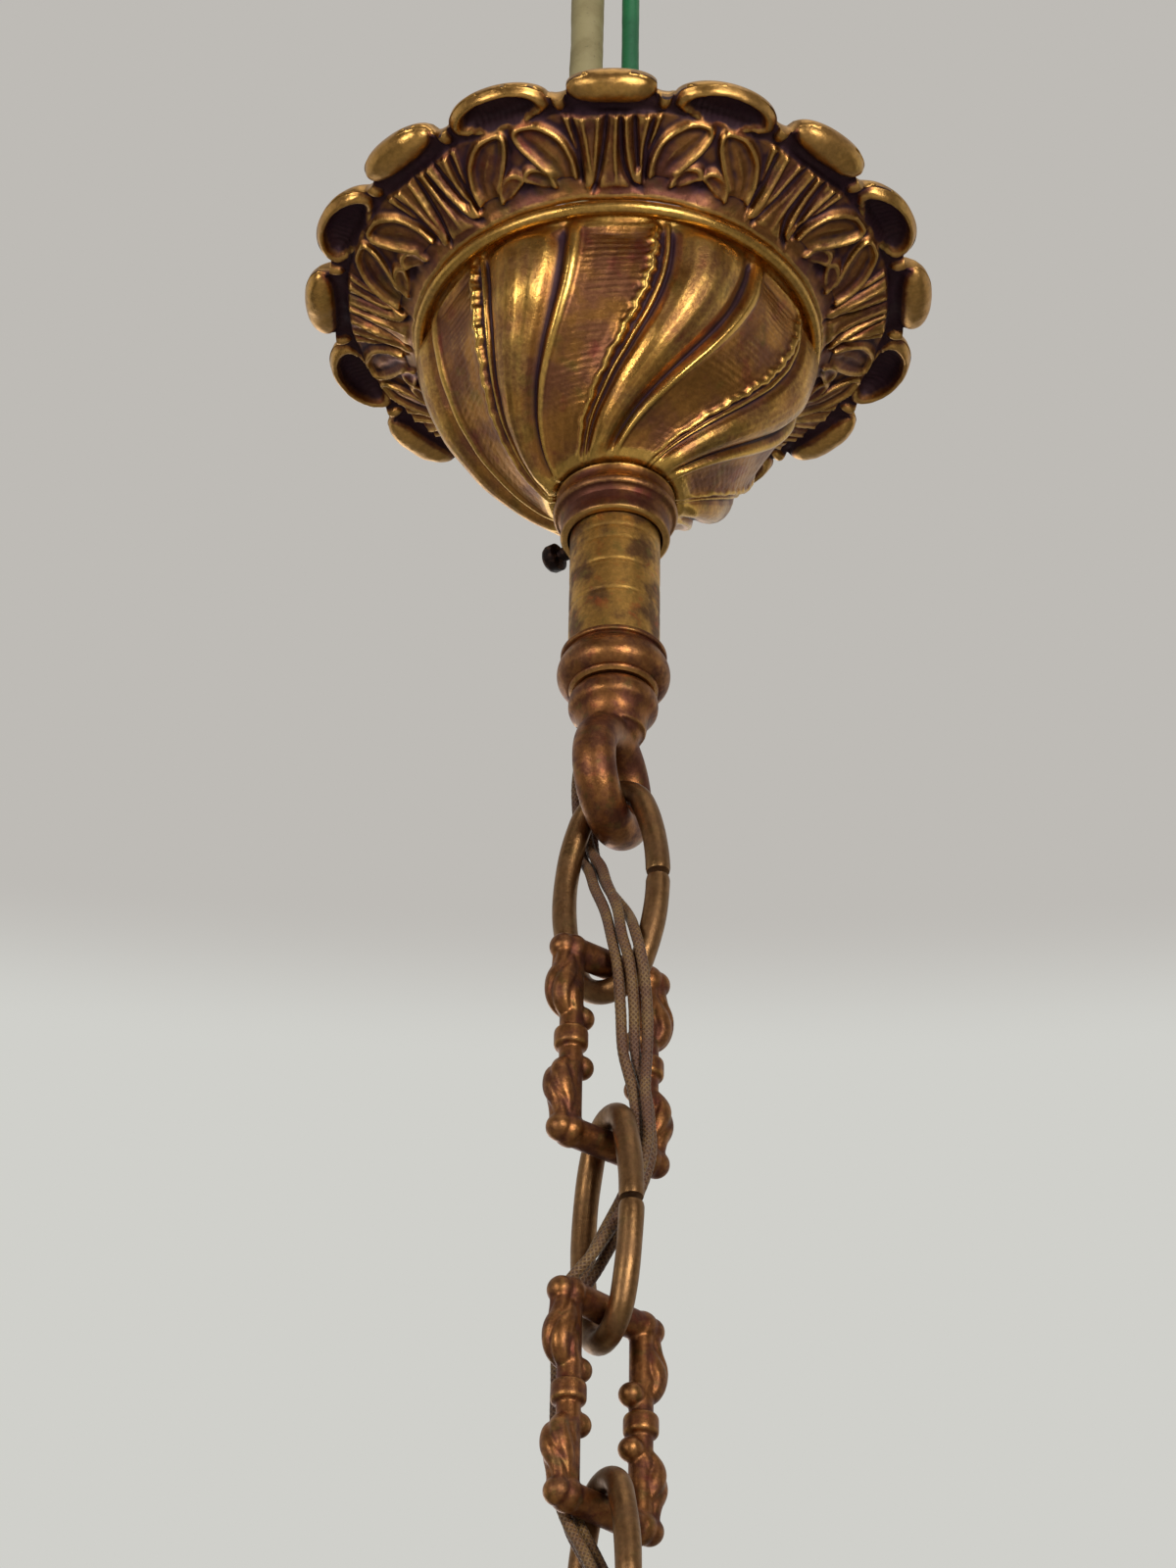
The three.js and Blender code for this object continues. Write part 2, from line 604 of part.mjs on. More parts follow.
// Wiring. The points were chosen by hand along each cord's real route.
const flexRoutes = [
  [
    [-10.3, 15, -15], [-10.3, 15, -19.5], [-8.7, 15.2, -23.4], [-5.2, 14.4, -26.4], [-2.2, 12, -27.5],
    [-1.2, 8.6, -27.5], [-1.2, 4.8, -27.8], [-1.2, 2, -30], [-1.2, 0.7, -34.5], [-1.2, 0.7, -60],
    [-1.2, 0.7, -90], [-2.6, 2.2, -113], [-5.1, 4.9, -123], [-6.2, 7.1, -130.9], [-5.6, 8.9, -140.4],
    [-5, 8.1, -145.9], [-3.7, 4.2, -151.9], [-2.8, 0.5, -157.9], [-1, -2.6, -164.9], [0.2, -4.6, -171.9],
    [1.2, -5.1, -177.9], [1.8, -4.3, -185.9], [2.3, -3.4, -193.9], [4, -2.1, -200.9],
    [4.7, -1.9, -206.9], [4.8, -1.9, -212.9], [2.9, -1.8, -219.9], [-0.3, -1.2, -226.9],
    [-3.1, -0.4, -232.9], [-5.5, 0.7, -238.9], [-5.6, 0.7, -255.9], [-5.2, 1, -273.9],
    [-3.9, 1.2, -278.9], [-1.1, 0.7, -284.9], [1.9, 0.5, -291.9], [4.1, 0.8, -298.9],
    [4.8, 0.9, -311.9], [3, 0.6, -319.9], [0.3, 0.1, -325.9], [0, 0, -332.9],
  ],
  [
    [-3.4, 15, -15], [-3.4, 15.1, -19], [-2.9, 15, -22.2], [-1.6, 13.6, -24.8], [-0.5, 11, -25.7],
    [0, 7.5, -25.7], [0, 3, -25.9], [0, -0.3, -28.2], [0, -1.4, -32.5], [0, -1.4, -60], [0, -1.4, -90],
    [-1.4, 0.1, -113], [-3.9, 2.8, -123], [-4.9, 5.1, -130.9], [-4.4, 6.9, -140.4], [-3.6, 5.9, -145.9],
    [-1.7, 2.5, -151.9], [-0.7, -0.9, -157.9], [1, -4, -164.9], [1.9, -5.9, -171.9],
    [3.2, -6.4, -177.9], [4, -5, -185.9], [4.4, -2.4, -193.9], [6.2, -1.2, -200.9], [6.9, -1.1, -206.9],
    [7, -1, -212.9], [5, -0.5, -219.9], [1.7, 0.4, -226.9], [-1.5, 1.7, -232.9], [-5, 3, -238.9],
    [-6.5, 2.9, -255.9], [-6.3, 3.1, -273.9], [-5.3, 3.2, -278.9], [-2.6, 2.7, -284.9],
    [0.6, 2.7, -291.9], [3.2, 3, -298.9], [4.2, 3.2, -311.9], [3.1, 4.1, -319.9], [0.7, 6.4, -325.9],
    [0, 6.9, -332.9],
  ],
  [
    [3.5, 15, -15], [3.5, 15.1, -19.5], [3.3, 14.9, -23], [2.5, 13.4, -26], [1.6, 10.8, -27.4],
    [1.2, 7.8, -27.5], [1.2, 4.8, -27.9], [1.2, 2, -30.1], [1.2, 0.7, -34.5], [1.2, 0.7, -60],
    [1.2, 0.7, -90], [-0.2, 2.1, -113], [-2.8, 4.9, -123], [-3.8, 7.1, -130.9], [-3.3, 8.9, -140.4],
    [-2.8, 8.2, -145.9], [-1.6, 5, -151.9], [-0.1, 1.5, -157.9], [2.9, -2, -164.9], [4.1, -6.8, -171.9],
    [5.3, -7.2, -177.9], [6.2, -5.3, -185.9], [6.3, -3.9, -193.9], [6, -3.8, -200.9],
    [6.4, -3.6, -206.9], [6.3, -3.7, -212.9], [4.4, -3.7, -219.9], [1.2, -3.3, -226.9],
    [-2.5, -2.8, -232.9], [-7, -1.1, -238.9], [-7.8, -0.2, -255.9], [-7.3, -0.4, -273.9],
    [-6, -0.5, -278.9], [-3.1, -0.9, -284.9], [0.1, -1.1, -291.9], [3.4, -1.7, -298.9],
    [5.3, -1.7, -311.9], [3.8, -3, -319.9], [0.9, -6, -325.9], [0, -6.9, -332.9],
  ],
];
const supplyRoute = [
  [-7.3, 15, -3.6], [-7.3, 15, 2], [-7.3, 15, 8], [-7.2, 15, 14], [-7.2, 15, 20], [-7.1, 15, 26],
  [-7.1, 15, 32], [-7, 15, 38], [-7, 15, 44], [-6.9, 15, 50], [-6.9, 15.1, 56], [-6.8, 15.1, 62],
  [-6.8, 15.1, 68], [-6.8, 15.1, 74], [-6.7, 15.1, 80], [-6.7, 15.1, 86], [-6.7, 15.1, 94.7],
];
const earthRoute = [
  [3.5, 15, -3.6], [3.5, 15, 0], [3.4, 15, 5], [3.2, 15, 10], [2.9, 15, 16], [2.6, 15, 22],
  [2.3, 15, 28], [2.1, 15, 34], [2, 15, 40], [2, 15, 46], [2, 15, 52], [2, 15, 58], [2, 15, 64],
  [2, 15, 70], [2, 15, 76], [2, 15, 82], [2, 15, 88], [2, 15, 94.7],
];

function cord(points, diameter, stepsPerDiameter) {
  const curve = new THREE.CatmullRomCurve3(points.map((p) => new THREE.Vector3(...p)));
  const steps = Math.ceil(curve.getLength() / (diameter * stepsPerDiameter));
  return tube(curve, diameter / 2, 6, steps);
}

const hangingSet = new THREE.Group();

piece('ceiling_ring', ceilingRing(), giltBronze, hangingSet);
piece('head_coupling', headCoupling(), wornBrass, hangingSet);
piece('stem_tube', stemTube(), wornBrass, hangingSet);
piece('lower_coupling', lowerCoupling(), giltBronze, hangingSet);
piece('suspension_eye', suspensionEye(), giltBronze, hangingSet);

const canopy = new THREE.Group();
canopy.position.z = canopyZ;
hangingSet.add(canopy);
piece('canopy_flange', canopyFlange(), giltBronze, canopy);
piece('canopy_rim_ring', canopyRimRing(), giltBronze, canopy);
piece('canopy_dome', canopyDome(), giltBronze, canopy);
piece('canopy_collar', canopyCollar(), giltBronze, canopy);
const screw = piece('set_screw', setScrew(), blackSteel, canopy);
screw.position.set(...outwards(setScrewTurn, stemRadius + clearance, setScrewRise - canopyDepth));
screw.rotation.z = radians(setScrewTurn - 90);

// The chain, each link hung on the one above it
let carrierZ = eyeZ - eyeRadius + eyeWireRadius;
for (let i = 0; i < linkTurns.length; i++) {
  const cast = i % 2 === 1;
  const wire = cast ? castBarRadius : linkWireRadius;
  const half = cast ? castBarSpacing / 2 : linkHalfLength;
  const link = cast
    ? piece(`cast_link_${i + 1}`, castLink(), giltBronze, hangingSet)
    : piece(`plain_link_${i + 1}`, plainLink(), linkBronze, hangingSet);
  const topLine = carrierZ + clearance + wire;
  link.position.z = topLine - half;
  link.rotation.z = radians(linkTurns[i]);
  carrierZ = topLine - 2 * half + wire;
}

const flexTop = flexRoutes[1][0];
const flexFoot = flexRoutes[0].at(-1);
const blockInset = (blockHeight - clampLength) / 2 + clampGrip;

const canopyBlock = new THREE.Group();
canopyBlock.position.set(flexTop[0], flexTop[1], flexTop[2] - blockInset + blockHeight / 2);
hangingSet.add(canopyBlock);
terminalBlock(canopyBlock, 'canopy_block');

const lowerBlock = new THREE.Group();
lowerBlock.position.set(flexFoot[0], flexFoot[1], flexFoot[2] + blockInset - blockHeight / 2);
lowerBlock.rotation.z = radians(90);
hangingSet.add(lowerBlock);
terminalBlock(lowerBlock, 'lower_block');

flexRoutes.forEach((points, i) => {
  piece(`flex_wire_${i + 1}`, cord(points, flexDiameter, 3), clothFlex, hangingSet);
});
piece('supply_cable', cord(supplyRoute, supplyDiameter, 2), creamSheath, hangingSet);
piece('earth_wire', cord(earthRoute, earthDiameter, 3), greenSheath, hangingSet);

const [supplyEnd, earthEnd] = [supplyRoute.at(-1), earthRoute.at(-1)];
const outletX = (supplyEnd[0] + earthEnd[0]) / 2;
const outlet = piece('ceiling_outlet', ceilingOutlet([
  [supplyEnd[0] - outletX, 0, supplyDiameter / 2],
  [earthEnd[0] - outletX, 0, earthDiameter / 2],
]), porcelain, hangingSet);
outlet.position.set(outletX, supplyEnd[1], supplyEnd[2] + clearance - outletRecess);

export default hangingSet;
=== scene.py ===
# Looks of an old gilt bronze hanging set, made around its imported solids.
# Metres, +Z up, -Y is the front. Sizes in the dictionaries are millimetres and degrees.
import math
import bpy
import numpy as np
from mathutils import Matrix, Vector


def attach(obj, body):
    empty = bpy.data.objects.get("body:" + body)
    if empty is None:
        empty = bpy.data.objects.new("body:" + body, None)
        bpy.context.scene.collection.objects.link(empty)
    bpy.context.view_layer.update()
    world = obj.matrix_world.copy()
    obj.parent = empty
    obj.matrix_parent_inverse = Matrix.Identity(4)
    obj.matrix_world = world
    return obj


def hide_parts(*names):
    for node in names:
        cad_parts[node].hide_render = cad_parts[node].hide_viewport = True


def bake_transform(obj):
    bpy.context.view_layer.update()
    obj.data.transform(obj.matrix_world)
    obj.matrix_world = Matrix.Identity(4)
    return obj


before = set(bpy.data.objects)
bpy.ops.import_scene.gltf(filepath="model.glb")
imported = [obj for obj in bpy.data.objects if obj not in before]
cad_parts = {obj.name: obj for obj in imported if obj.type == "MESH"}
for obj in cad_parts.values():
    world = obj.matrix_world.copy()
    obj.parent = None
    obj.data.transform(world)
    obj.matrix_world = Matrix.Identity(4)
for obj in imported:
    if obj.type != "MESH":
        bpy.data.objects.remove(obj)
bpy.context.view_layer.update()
mm = 0.001
wholeTurn = 2 * math.pi
print("frame loaded")

# Camera, low in front and looking up; the aim and the distance are in mm
viewing = {"lens": 104.6, "aim": (-4.24, 0, -135.9), "distance": 795, "pitch": 36.8, "roll": 0.9}
pitch, roll = math.radians(viewing["pitch"]), math.radians(viewing["roll"])
ahead = Vector((0, math.cos(pitch), math.sin(pitch)))
above = Vector((0, -math.sin(pitch), math.cos(pitch)))
aside = Vector((1, 0, 0))
lensRight = aside * math.cos(roll) + above * math.sin(roll)
lensUp = above * math.cos(roll) - aside * math.sin(roll)
bpy.ops.object.camera_add()
camera = bpy.context.object
camera.data.lens = viewing["lens"]
camera.data.clip_start = 0.01
camera.matrix_world = (Matrix.Translation((Vector(viewing["aim"]) - ahead * viewing["distance"]) * mm)
                       @ Matrix((lensRight, lensUp, -ahead)).transposed().to_4x4())
bpy.context.scene.camera = camera


# Small workshop helpers
def pick(*objects):
    if bpy.context.object and bpy.context.object.mode != "OBJECT":
        bpy.ops.object.mode_set(mode="OBJECT")
    bpy.ops.object.select_all(action="DESELECT")
    for item in objects:
        item.select_set(True)
    bpy.context.view_layer.objects.active = objects[0]
    return objects[0]


def modify(piece, kind, **settings):
    pick(piece)
    modifier = piece.modifiers.new(kind.title(), kind)
    for key, value in settings.items():
        setattr(modifier, key, value)
    bpy.ops.object.modifier_apply(modifier=modifier.name)
    return piece


def settle():  # the active object with its place moved into its mesh
    piece = pick(bpy.context.object)
    bpy.ops.object.transform_apply(location=True, rotation=True, scale=True)
    return piece


def moved(piece, matrix):
    piece.data.transform(matrix)
    piece.data.update()
    return piece


def placed(piece, offset, degrees):  # moved in metres, after a turn about the upright axis
    return moved(piece, Matrix.Translation(offset) @ Matrix.Rotation(math.radians(degrees), 4, "Z"))


def copied(model, name):
    piece = model.copy()
    piece.data = model.data.copy()
    piece.name = name
    bpy.context.collection.objects.link(piece)
    return piece


def melted(name, parts, grain, rounds):  # parts joined into one skin, then smoothed
    piece = pick(*parts)
    bpy.ops.object.join()
    piece.name = name
    modify(piece, "REMESH", mode="VOXEL", voxel_size=grain * mm)
    return modify(piece, "SMOOTH", factor=0.5, iterations=rounds)


def cutAway(piece, tools):
    for tool in tools:
        modify(piece, "BOOLEAN", operation="DIFFERENCE", object=tool, solver="EXACT")
        bpy.data.objects.remove(tool)
    return piece


def rod(start, end, radius, sides=48):
    a, b = Vector(start) * mm, Vector(end) * mm
    lean = (b - a).to_track_quat("Z", "Y").to_euler()
    bpy.ops.mesh.primitive_cylinder_add(vertices=sides, radius=radius * mm, depth=(b - a).length,
                                        location=(a + b) / 2, rotation=lean)
    return settle()


def ball(x, y, z, radius, stretch=(1, 1, 1)):
    bpy.ops.mesh.primitive_uv_sphere_add(segments=32, ring_count=20, radius=radius * mm,
                                         location=(x * mm, y * mm, z * mm), scale=stretch)
    return settle()


def box(place, size):
    bpy.ops.mesh.primitive_cube_add(size=1, location=[c * mm for c in place], scale=[c * mm for c in size])
    return settle()


def torus(radius, wire, z, sides, turn=0, breadth=1):  # upright, its axis level
    bpy.ops.mesh.primitive_torus_add(major_radius=radius * mm, minor_radius=wire * mm, major_segments=96,
                                     minor_segments=sides, location=(0, 0, z * mm),
                                     rotation=(math.pi / 2, 0, math.radians(turn)))
    bpy.context.object.scale = (1, 1, breadth)
    return settle()


def meshPiece(name, points, faces, uv=None):
    mesh = bpy.data.meshes.new(name)
    mesh.from_pydata((np.asarray(points) * mm).tolist(), [], faces)
    if uv is not None:
        layer = mesh.uv_layers.new(name="UVMap")
        layer.data.foreach_set("uv", np.asarray(uv, np.float32).ravel())
    piece = bpy.data.objects.new(name, mesh)
    bpy.context.collection.objects.link(piece)
    return pick(piece)


def gridFaces(rows, columns, wrapRows=False):  # quads over rows of points that close on themselves
    i = np.arange(rows if wrapRows else rows - 1)[:, None]
    j = np.arange(columns)[None, :]
    below, beside = (i + 1) % rows, (j + 1) % columns
    return np.stack([i * columns + j, i * columns + beside, below * columns + beside, below * columns + j],
                    axis=-1).reshape(-1, 4)


def outwardFaces(piece):
    pick(piece)
    bpy.ops.object.mode_set(mode="EDIT")
    bpy.ops.mesh.select_all(action="SELECT")
    bpy.ops.mesh.normals_make_consistent(inside=False)
    bpy.ops.object.mode_set(mode="OBJECT")
    return piece


def lineDistance(line):  # length so far at each of its points
    return np.r_[0, np.cumsum(np.linalg.norm(np.diff(line, axis=0), axis=1))]


def evenLine(points, step):
    distance = lineDistance(points)
    count = max(2, int(round(distance[-1] / step)) + 1)
    places = np.linspace(0, distance[-1], count)
    return np.stack([np.interp(places, distance, points[:, k]) for k in range(3)], axis=1)


def routeLine(route, step):  # an even line through the route's points, on a centripetal spline
    points = np.array(route, float)
    line = []
    for k in range(len(points) - 1):
        p1, p2 = points[k], points[k + 1]
        p0 = points[k - 1] if k else 2 * p1 - p2
        p3 = points[k + 2] if k + 2 < len(points) else 2 * p2 - p1
        d0, d1, d2 = (np.linalg.norm(b - a) ** 0.5 for a, b in ((p0, p1), (p1, p2), (p2, p3)))
        m1 = ((p1 - p0) / d0 - (p2 - p0) / (d0 + d1) + (p2 - p1) / d1) * d1
        m2 = ((p2 - p1) / d1 - (p3 - p1) / (d1 + d2) + (p3 - p2) / d2) * d1
        for u in np.linspace(0, 1, 40, endpoint=False):
            line.append((2 * u**3 - 3 * u**2 + 1) * p1 + (u**3 - 2 * u**2 + u) * m1
                        + (-2 * u**3 + 3 * u**2) * p2 + (u**3 - u**2) * m2)
    line.append(points[-1])
    return evenLine(np.array(line), step)


def carriedFrames(line):  # two directions across the line, carried along it without twist
    tangent = np.gradient(line, axis=0)
    tangent /= np.linalg.norm(tangent, axis=1)[:, None]
    across = np.zeros_like(line)
    start = np.array([0.3, 1.0, 0.1])
    for k, t in enumerate(tangent):
        start = start - t * (start @ t)
        start /= np.linalg.norm(start)
        across[k] = start
    return across, np.cross(tangent, across)


def sweptPoints(line, radii, sides):  # radii has one value a ring, or one a ring and side
    across, up = carriedFrames(line)
    angle = wholeTurn * np.arange(sides) / sides
    reach = np.broadcast_to(np.reshape(radii, (len(line), -1)), (len(line), sides))[..., None]
    return line[:, None] + reach * (np.cos(angle)[None, :, None] * across[:, None]
                                    + np.sin(angle)[None, :, None] * up[:, None])


def tubePiece(name, rings, distance):  # a closed tube from its rings, with a map of turn and length
    rows, sides = rings.shape[:2]
    points = rings.reshape(-1, 3)
    quads = gridFaces(rows, sides)
    turn = np.tile(np.arange(sides), rows - 1)
    i = np.repeat(np.arange(rows - 1), sides)
    uv = np.stack([np.stack([(turn + right) / sides, distance[i + far]], -1)
                   for right, far in ((0, 0), (1, 0), (1, 1), (0, 1))], axis=1)
    ends = [list(range(sides))[::-1], list(range((rows - 1) * sides, rows * sides))]
    endUv = [np.stack([np.arange(sides) / sides, np.full(sides, d)], -1) for d in distance[[0, -1]]]
    piece = meshPiece(name, points, quads.tolist() + ends, np.concatenate([uv.reshape(-1, 2), *endUv]))
    return outwardFaces(piece)


def turnedPiece(name, profile, sides=128):  # drawn out ring by ring; the section closes on itself
    bpy.ops.object.select_all(action="DESELECT")
    radius, z = profile[0]
    bpy.ops.mesh.primitive_circle_add(vertices=sides, radius=radius * mm, location=(0, 0, z * mm))
    piece = settle()
    piece.name = name
    bpy.ops.object.mode_set(mode="EDIT")
    bpy.ops.mesh.select_all(action="SELECT")
    for (r0, z0), (r1, z1) in zip(profile, profile[1:] + profile[:1]):
        bpy.ops.mesh.extrude_region_move(TRANSFORM_OT_translate={"value": (0, 0, (z1 - z0) * mm)})
        bpy.ops.transform.resize(value=(r1 / r0, r1 / r0, 1), center_override=(0, 0, z1 * mm))
    bpy.ops.mesh.select_all(action="SELECT")
    bpy.ops.mesh.remove_doubles(threshold=0.004 * mm)
    bpy.ops.object.mode_set(mode="OBJECT")
    return outwardFaces(piece)


def rounded(points, steps=6, sharp=()):  # a smooth line of [radius, height] points through a rough one
    points = np.array(points, float)
    line = []
    for k in range(len(points) - 1):
        p1, p2 = points[k], points[k + 1]
        p0 = points[k - 1] if k and k not in sharp else p1
        p3 = points[k + 2] if k + 2 < len(points) and k + 1 not in sharp else p2
        for u in np.linspace(0, 1, steps, endpoint=False):
            line.append(0.5 * (2 * p1 + (p2 - p0) * u + (2 * p0 - 5 * p1 + 4 * p2 - p3) * u**2
                               + (3 * p1 - p0 - 3 * p2 + p3) * u**3))
    line.append(points[-1])
    return [tuple(p) for p in line]


def waver(points, size, seed):  # a smooth uneven field, about -1 to 1
    chance = np.random.default_rng(seed)
    total = 0
    for _ in range(7):
        way = chance.normal(size=3)
        way /= np.linalg.norm(way)
        pace = wholeTurn / (size * chance.uniform(0.7, 1.6))
        total = total + np.sin(points @ way * pace + chance.uniform(0, 7))
    return total / 3.2


def step(low, high, value):
    t = np.clip((value - low) / (high - low), 0, 1)
    return t * t * (3 - 2 * t)


# The bronzes and the porcelain paint shade into the hollows this finds; the bronzes also paint highlight on
# high points.
def markHollows(piece, rounds):  # how far each point lies under the smoothed surface, in mm
    mesh = piece.data
    count = len(mesh.vertices)
    start = np.empty(count * 3)
    mesh.vertices.foreach_get("co", start)
    start = start.reshape(-1, 3) / mm
    edges = np.empty(len(mesh.edges) * 2, np.int32)
    mesh.edges.foreach_get("vertices", edges)
    a, b = edges.reshape(-1, 2).T
    normal = np.empty(count * 3)
    mesh.vertices.foreach_get("normal", normal)
    normal = normal.reshape(-1, 3)
    degree = np.maximum(np.bincount(a, minlength=count) + np.bincount(b, minlength=count), 1)
    place, hollow = start.copy(), np.zeros(count)
    for turn in range(1, rounds[-1] + 1):
        mean = np.stack([np.bincount(a, place[b, k], count) + np.bincount(b, place[a, k], count)
                         for k in range(3)], axis=1) / degree[:, None]
        place = place * 0.4 + mean * 0.6
        if turn in rounds:
            hollow += ((place - start) * normal).sum(1) / len(rounds)
    mesh.attributes.new("hollow", "FLOAT", "POINT").data.foreach_set("value", hollow.astype(np.float32))
    return piece


# Materials
def tint(red, green, blue):
    return tuple((c / 255 / 12.92 if c / 255 <= 0.04045 else ((c / 255 + 0.055) / 1.055) ** 2.4)
                 for c in (red, green, blue)) + (1.0,)


def arithmetic(operation, swapped=False):
    def method(self, other):
        a, b = (other, self) if swapped else (self, other)
        return self.sheet.node("Math", {"operation": operation}, {0: a, 1: b})
    return method


class Wire:  # a socket of a node tree, with plain arithmetic
    def __init__(self, sheet, socket):
        self.sheet, self.socket = sheet, socket

    __add__ = __radd__ = arithmetic("ADD")
    __mul__ = __rmul__ = arithmetic("MULTIPLY")
    __sub__, __rsub__ = arithmetic("SUBTRACT"), arithmetic("SUBTRACT", True)
    __truediv__, __rtruediv__ = arithmetic("DIVIDE"), arithmetic("DIVIDE", True)
    most = arithmetic("MAXIMUM")

    def sine(self):
        return self.sheet.node("Math", {"operation": "SINE"}, {0: self})

    def output(self, key):  # another output of the same node
        return Wire(self.sheet, self.socket.node.outputs[key])


class Sheet:  # a node tree that is filled node by node
    def __init__(self, tree):
        self.tree = tree
        tree.nodes.clear()

    def node(self, kind, settings=None, inputs=None, output=0):
        made = self.tree.nodes.new("ShaderNode" + kind)
        for key, value in (settings or {}).items():
            setattr(made, key, value)
        for key, value in (inputs or {}).items():
            if isinstance(value, Wire):
                self.tree.links.new(value.socket, made.inputs[key])
            else:
                made.inputs[key].default_value = value
        return Wire(self, made.outputs[output]) if len(made.outputs) else made

    def noise(self, vector, size, detail=3.0, rough=0.55):  # size of the grain in mm
        return self.node("TexNoise", None, {"Vector": vector, "Scale": 1 / (size * mm), "Detail": detail,
                                            "Roughness": rough})

    def eased(self, value, low, high, start=0.0, end=1.0):
        return self.node("MapRange", {"interpolation_type": "SMOOTHSTEP"},
                         {0: value, 1: low, 2: high, 3: start, 4: end})

    def mixed(self, factor, first, second):  # colours are sockets, or red, green and blue up to 255
        first, second = (c if isinstance(c, Wire) else tint(*c) for c in (first, second))
        return self.node("Mix", {"data_type": "RGBA"}, {0: factor, 6: first, 7: second}, 2)

    def dimmed(self, color, amount):
        grey = self.node("CombineColor", None, {0: amount, 1: amount, 2: amount})
        settings = {"data_type": "RGBA", "blend_type": "MULTIPLY"}
        return self.node("Mix", settings, {0: 1.0, 6: color, 7: grey}, 2)


def newMaterial(name, recipe, *looks):
    material = bpy.data.materials.new(name)
    material.use_nodes = True
    recipe(Sheet(material.node_tree), *looks)
    return material


def surface(sheet, color, roughness, metallic, height=None, depth=0.05, **fixed):
    inputs = {"Base Color": color, "Roughness": roughness, "Metallic": metallic, **fixed}
    if height is not None:
        bump = {"Height": height, "Distance": depth * mm, "Strength": 1.0}
        inputs["Normal"] = sheet.node("Bump", None, bump)
    shader = sheet.node("BsdfPrincipled", None, inputs)
    sheet.node("OutputMaterial", None, {"Surface": shader})


# bright is rubbed gilding with painted highlight on high points; dark is tarnish with painted shade in hollows
bronzeLooks = {  # patch is in mm
    "giltDome": {
        "bright": (238, 192, 98), "gold": (170, 118, 60), "brown": (104, 62, 56), "dark": (48, 21, 38),
        "red": (134, 60, 54), "green": (118, 104, 50), "patch": 9, "wear": 0.6, "age": 0.7, "rough": 0.3},
    # the flange's gilt is the dome's made darker, as painted shade, and the collar shares it
    "shadedGiltFlange": {
        "bright": (222, 174, 94), "gold": (148, 100, 56), "brown": (98, 57, 53), "dark": (48, 21, 37),
        "red": (122, 54, 48), "green": (108, 94, 48), "patch": 9, "wear": 0.55, "age": 0.8, "rough": 0.34},
    "giltCast": {
        "bright": (202, 150, 84), "gold": (146, 96, 56), "brown": (98, 58, 48), "dark": (34, 19, 25),
        "red": (122, 58, 46), "green": (98, 88, 46), "patch": 4, "wear": 0.55, "age": 0.85, "rough": 0.38},
    "linkBronze": {
        "bright": (162, 124, 78), "gold": (116, 80, 52), "brown": (82, 51, 43), "dark": (32, 19, 23),
        "red": (104, 58, 46), "green": (84, 78, 46), "patch": 4, "wear": 0.5, "age": 0.9, "rough": 0.42},
    "stemBrass": {
        "bright": (240, 196, 104), "gold": (196, 150, 78), "brown": (106, 74, 52), "dark": (50, 28, 34),
        "red": (196, 106, 60), "green": (140, 126, 68), "patch": 5, "wear": 0.55, "age": 0.9, "rough": 0.42},
}
# what all bronzes share: grains and depths in mm, and where stains, hollows and high points start and are full;
# the hollows darken to tarnish with painted shade, the high points brighten to rubbed gilding with painted
# highlight
patinaAndPaintedLight = {
    "fine": 0.9, "grain": 0.28, "shift": (0.31, 0.17, 0.05), "otherPatch": 0.7, "bump": 0.09,
    "deep": (0.02, 0.3), "proud": (0.03, 0.26), "brown": (0.4, 0.62), "green": (0.56, 0.7),
    "red": (0.42, 0.3), "greenShare": 0.45, "redShare": 0.5, "darkShare": 0.94, "roughSpread": 0.16,
}


def bronze(sheet, look):
    place = sheet.node("TexCoord", output=3)
    hollow = sheet.node("Attribute", {"attribute_name": "hollow"}, output=2)
    broad = sheet.noise(place, look["patch"], 4)
    shifted = sheet.node("VectorMath", {"operation": "ADD"}, {0: place, 1: patinaAndPaintedLight["shift"]})
    other = sheet.noise(shifted, look["patch"] * patinaAndPaintedLight["otherPatch"], 3)
    fine = sheet.noise(place, patinaAndPaintedLight["fine"], 4, 0.65)
    grain = sheet.noise(place, patinaAndPaintedLight["grain"], 2)
    # deep marks the hollows, which get tarnish and painted shade
    deep = sheet.eased(hollow + (fine - 0.5) * 0.12, *patinaAndPaintedLight["deep"])
    # proud marks the high points, which get rubbed gilding and painted highlight
    proud = sheet.eased((fine - 0.5) * 0.14 - hollow, *patinaAndPaintedLight["proud"])
    color = sheet.mixed(sheet.eased(broad, *patinaAndPaintedLight["brown"]) * look["age"], look["gold"], look["brown"])
    color = sheet.mixed(sheet.eased(other, *patinaAndPaintedLight["green"]) * patinaAndPaintedLight["greenShare"], color, look["green"])
    color = sheet.mixed(sheet.eased(other, *patinaAndPaintedLight["red"]) * patinaAndPaintedLight["redShare"], color, look["red"])
    # painted highlight: the high points mixed toward the bright colour, with their rubbed gilding
    color = sheet.mixed(proud * look["wear"], color, look["bright"])
    # painted shade: the hollows mixed toward the dark colour, with their tarnish
    color = sheet.mixed(deep * patinaAndPaintedLight["darkShare"], color, look["dark"])
    color = sheet.dimmed(color, sheet.eased(fine, 0.3, 0.7, 0.8, 1.08))
    polish = sheet.eased(broad, 0.3, 0.7, look["rough"], look["rough"] + patinaAndPaintedLight["roughSpread"])
    roughness = polish + deep * 0.22 + (grain - 0.5) * 0.08 - proud * 0.06
    surface(sheet, color, roughness, 1 - deep * 0.4, fine * 0.7 + grain * 0.3, patinaAndPaintedLight["bump"])


# gap is painted shade between the woven strands
braid = {"strands": 6, "pitch": 0.95, "brown": (104, 68, 42), "gold": (128, 96, 52), "gap": (62, 32, 32)}


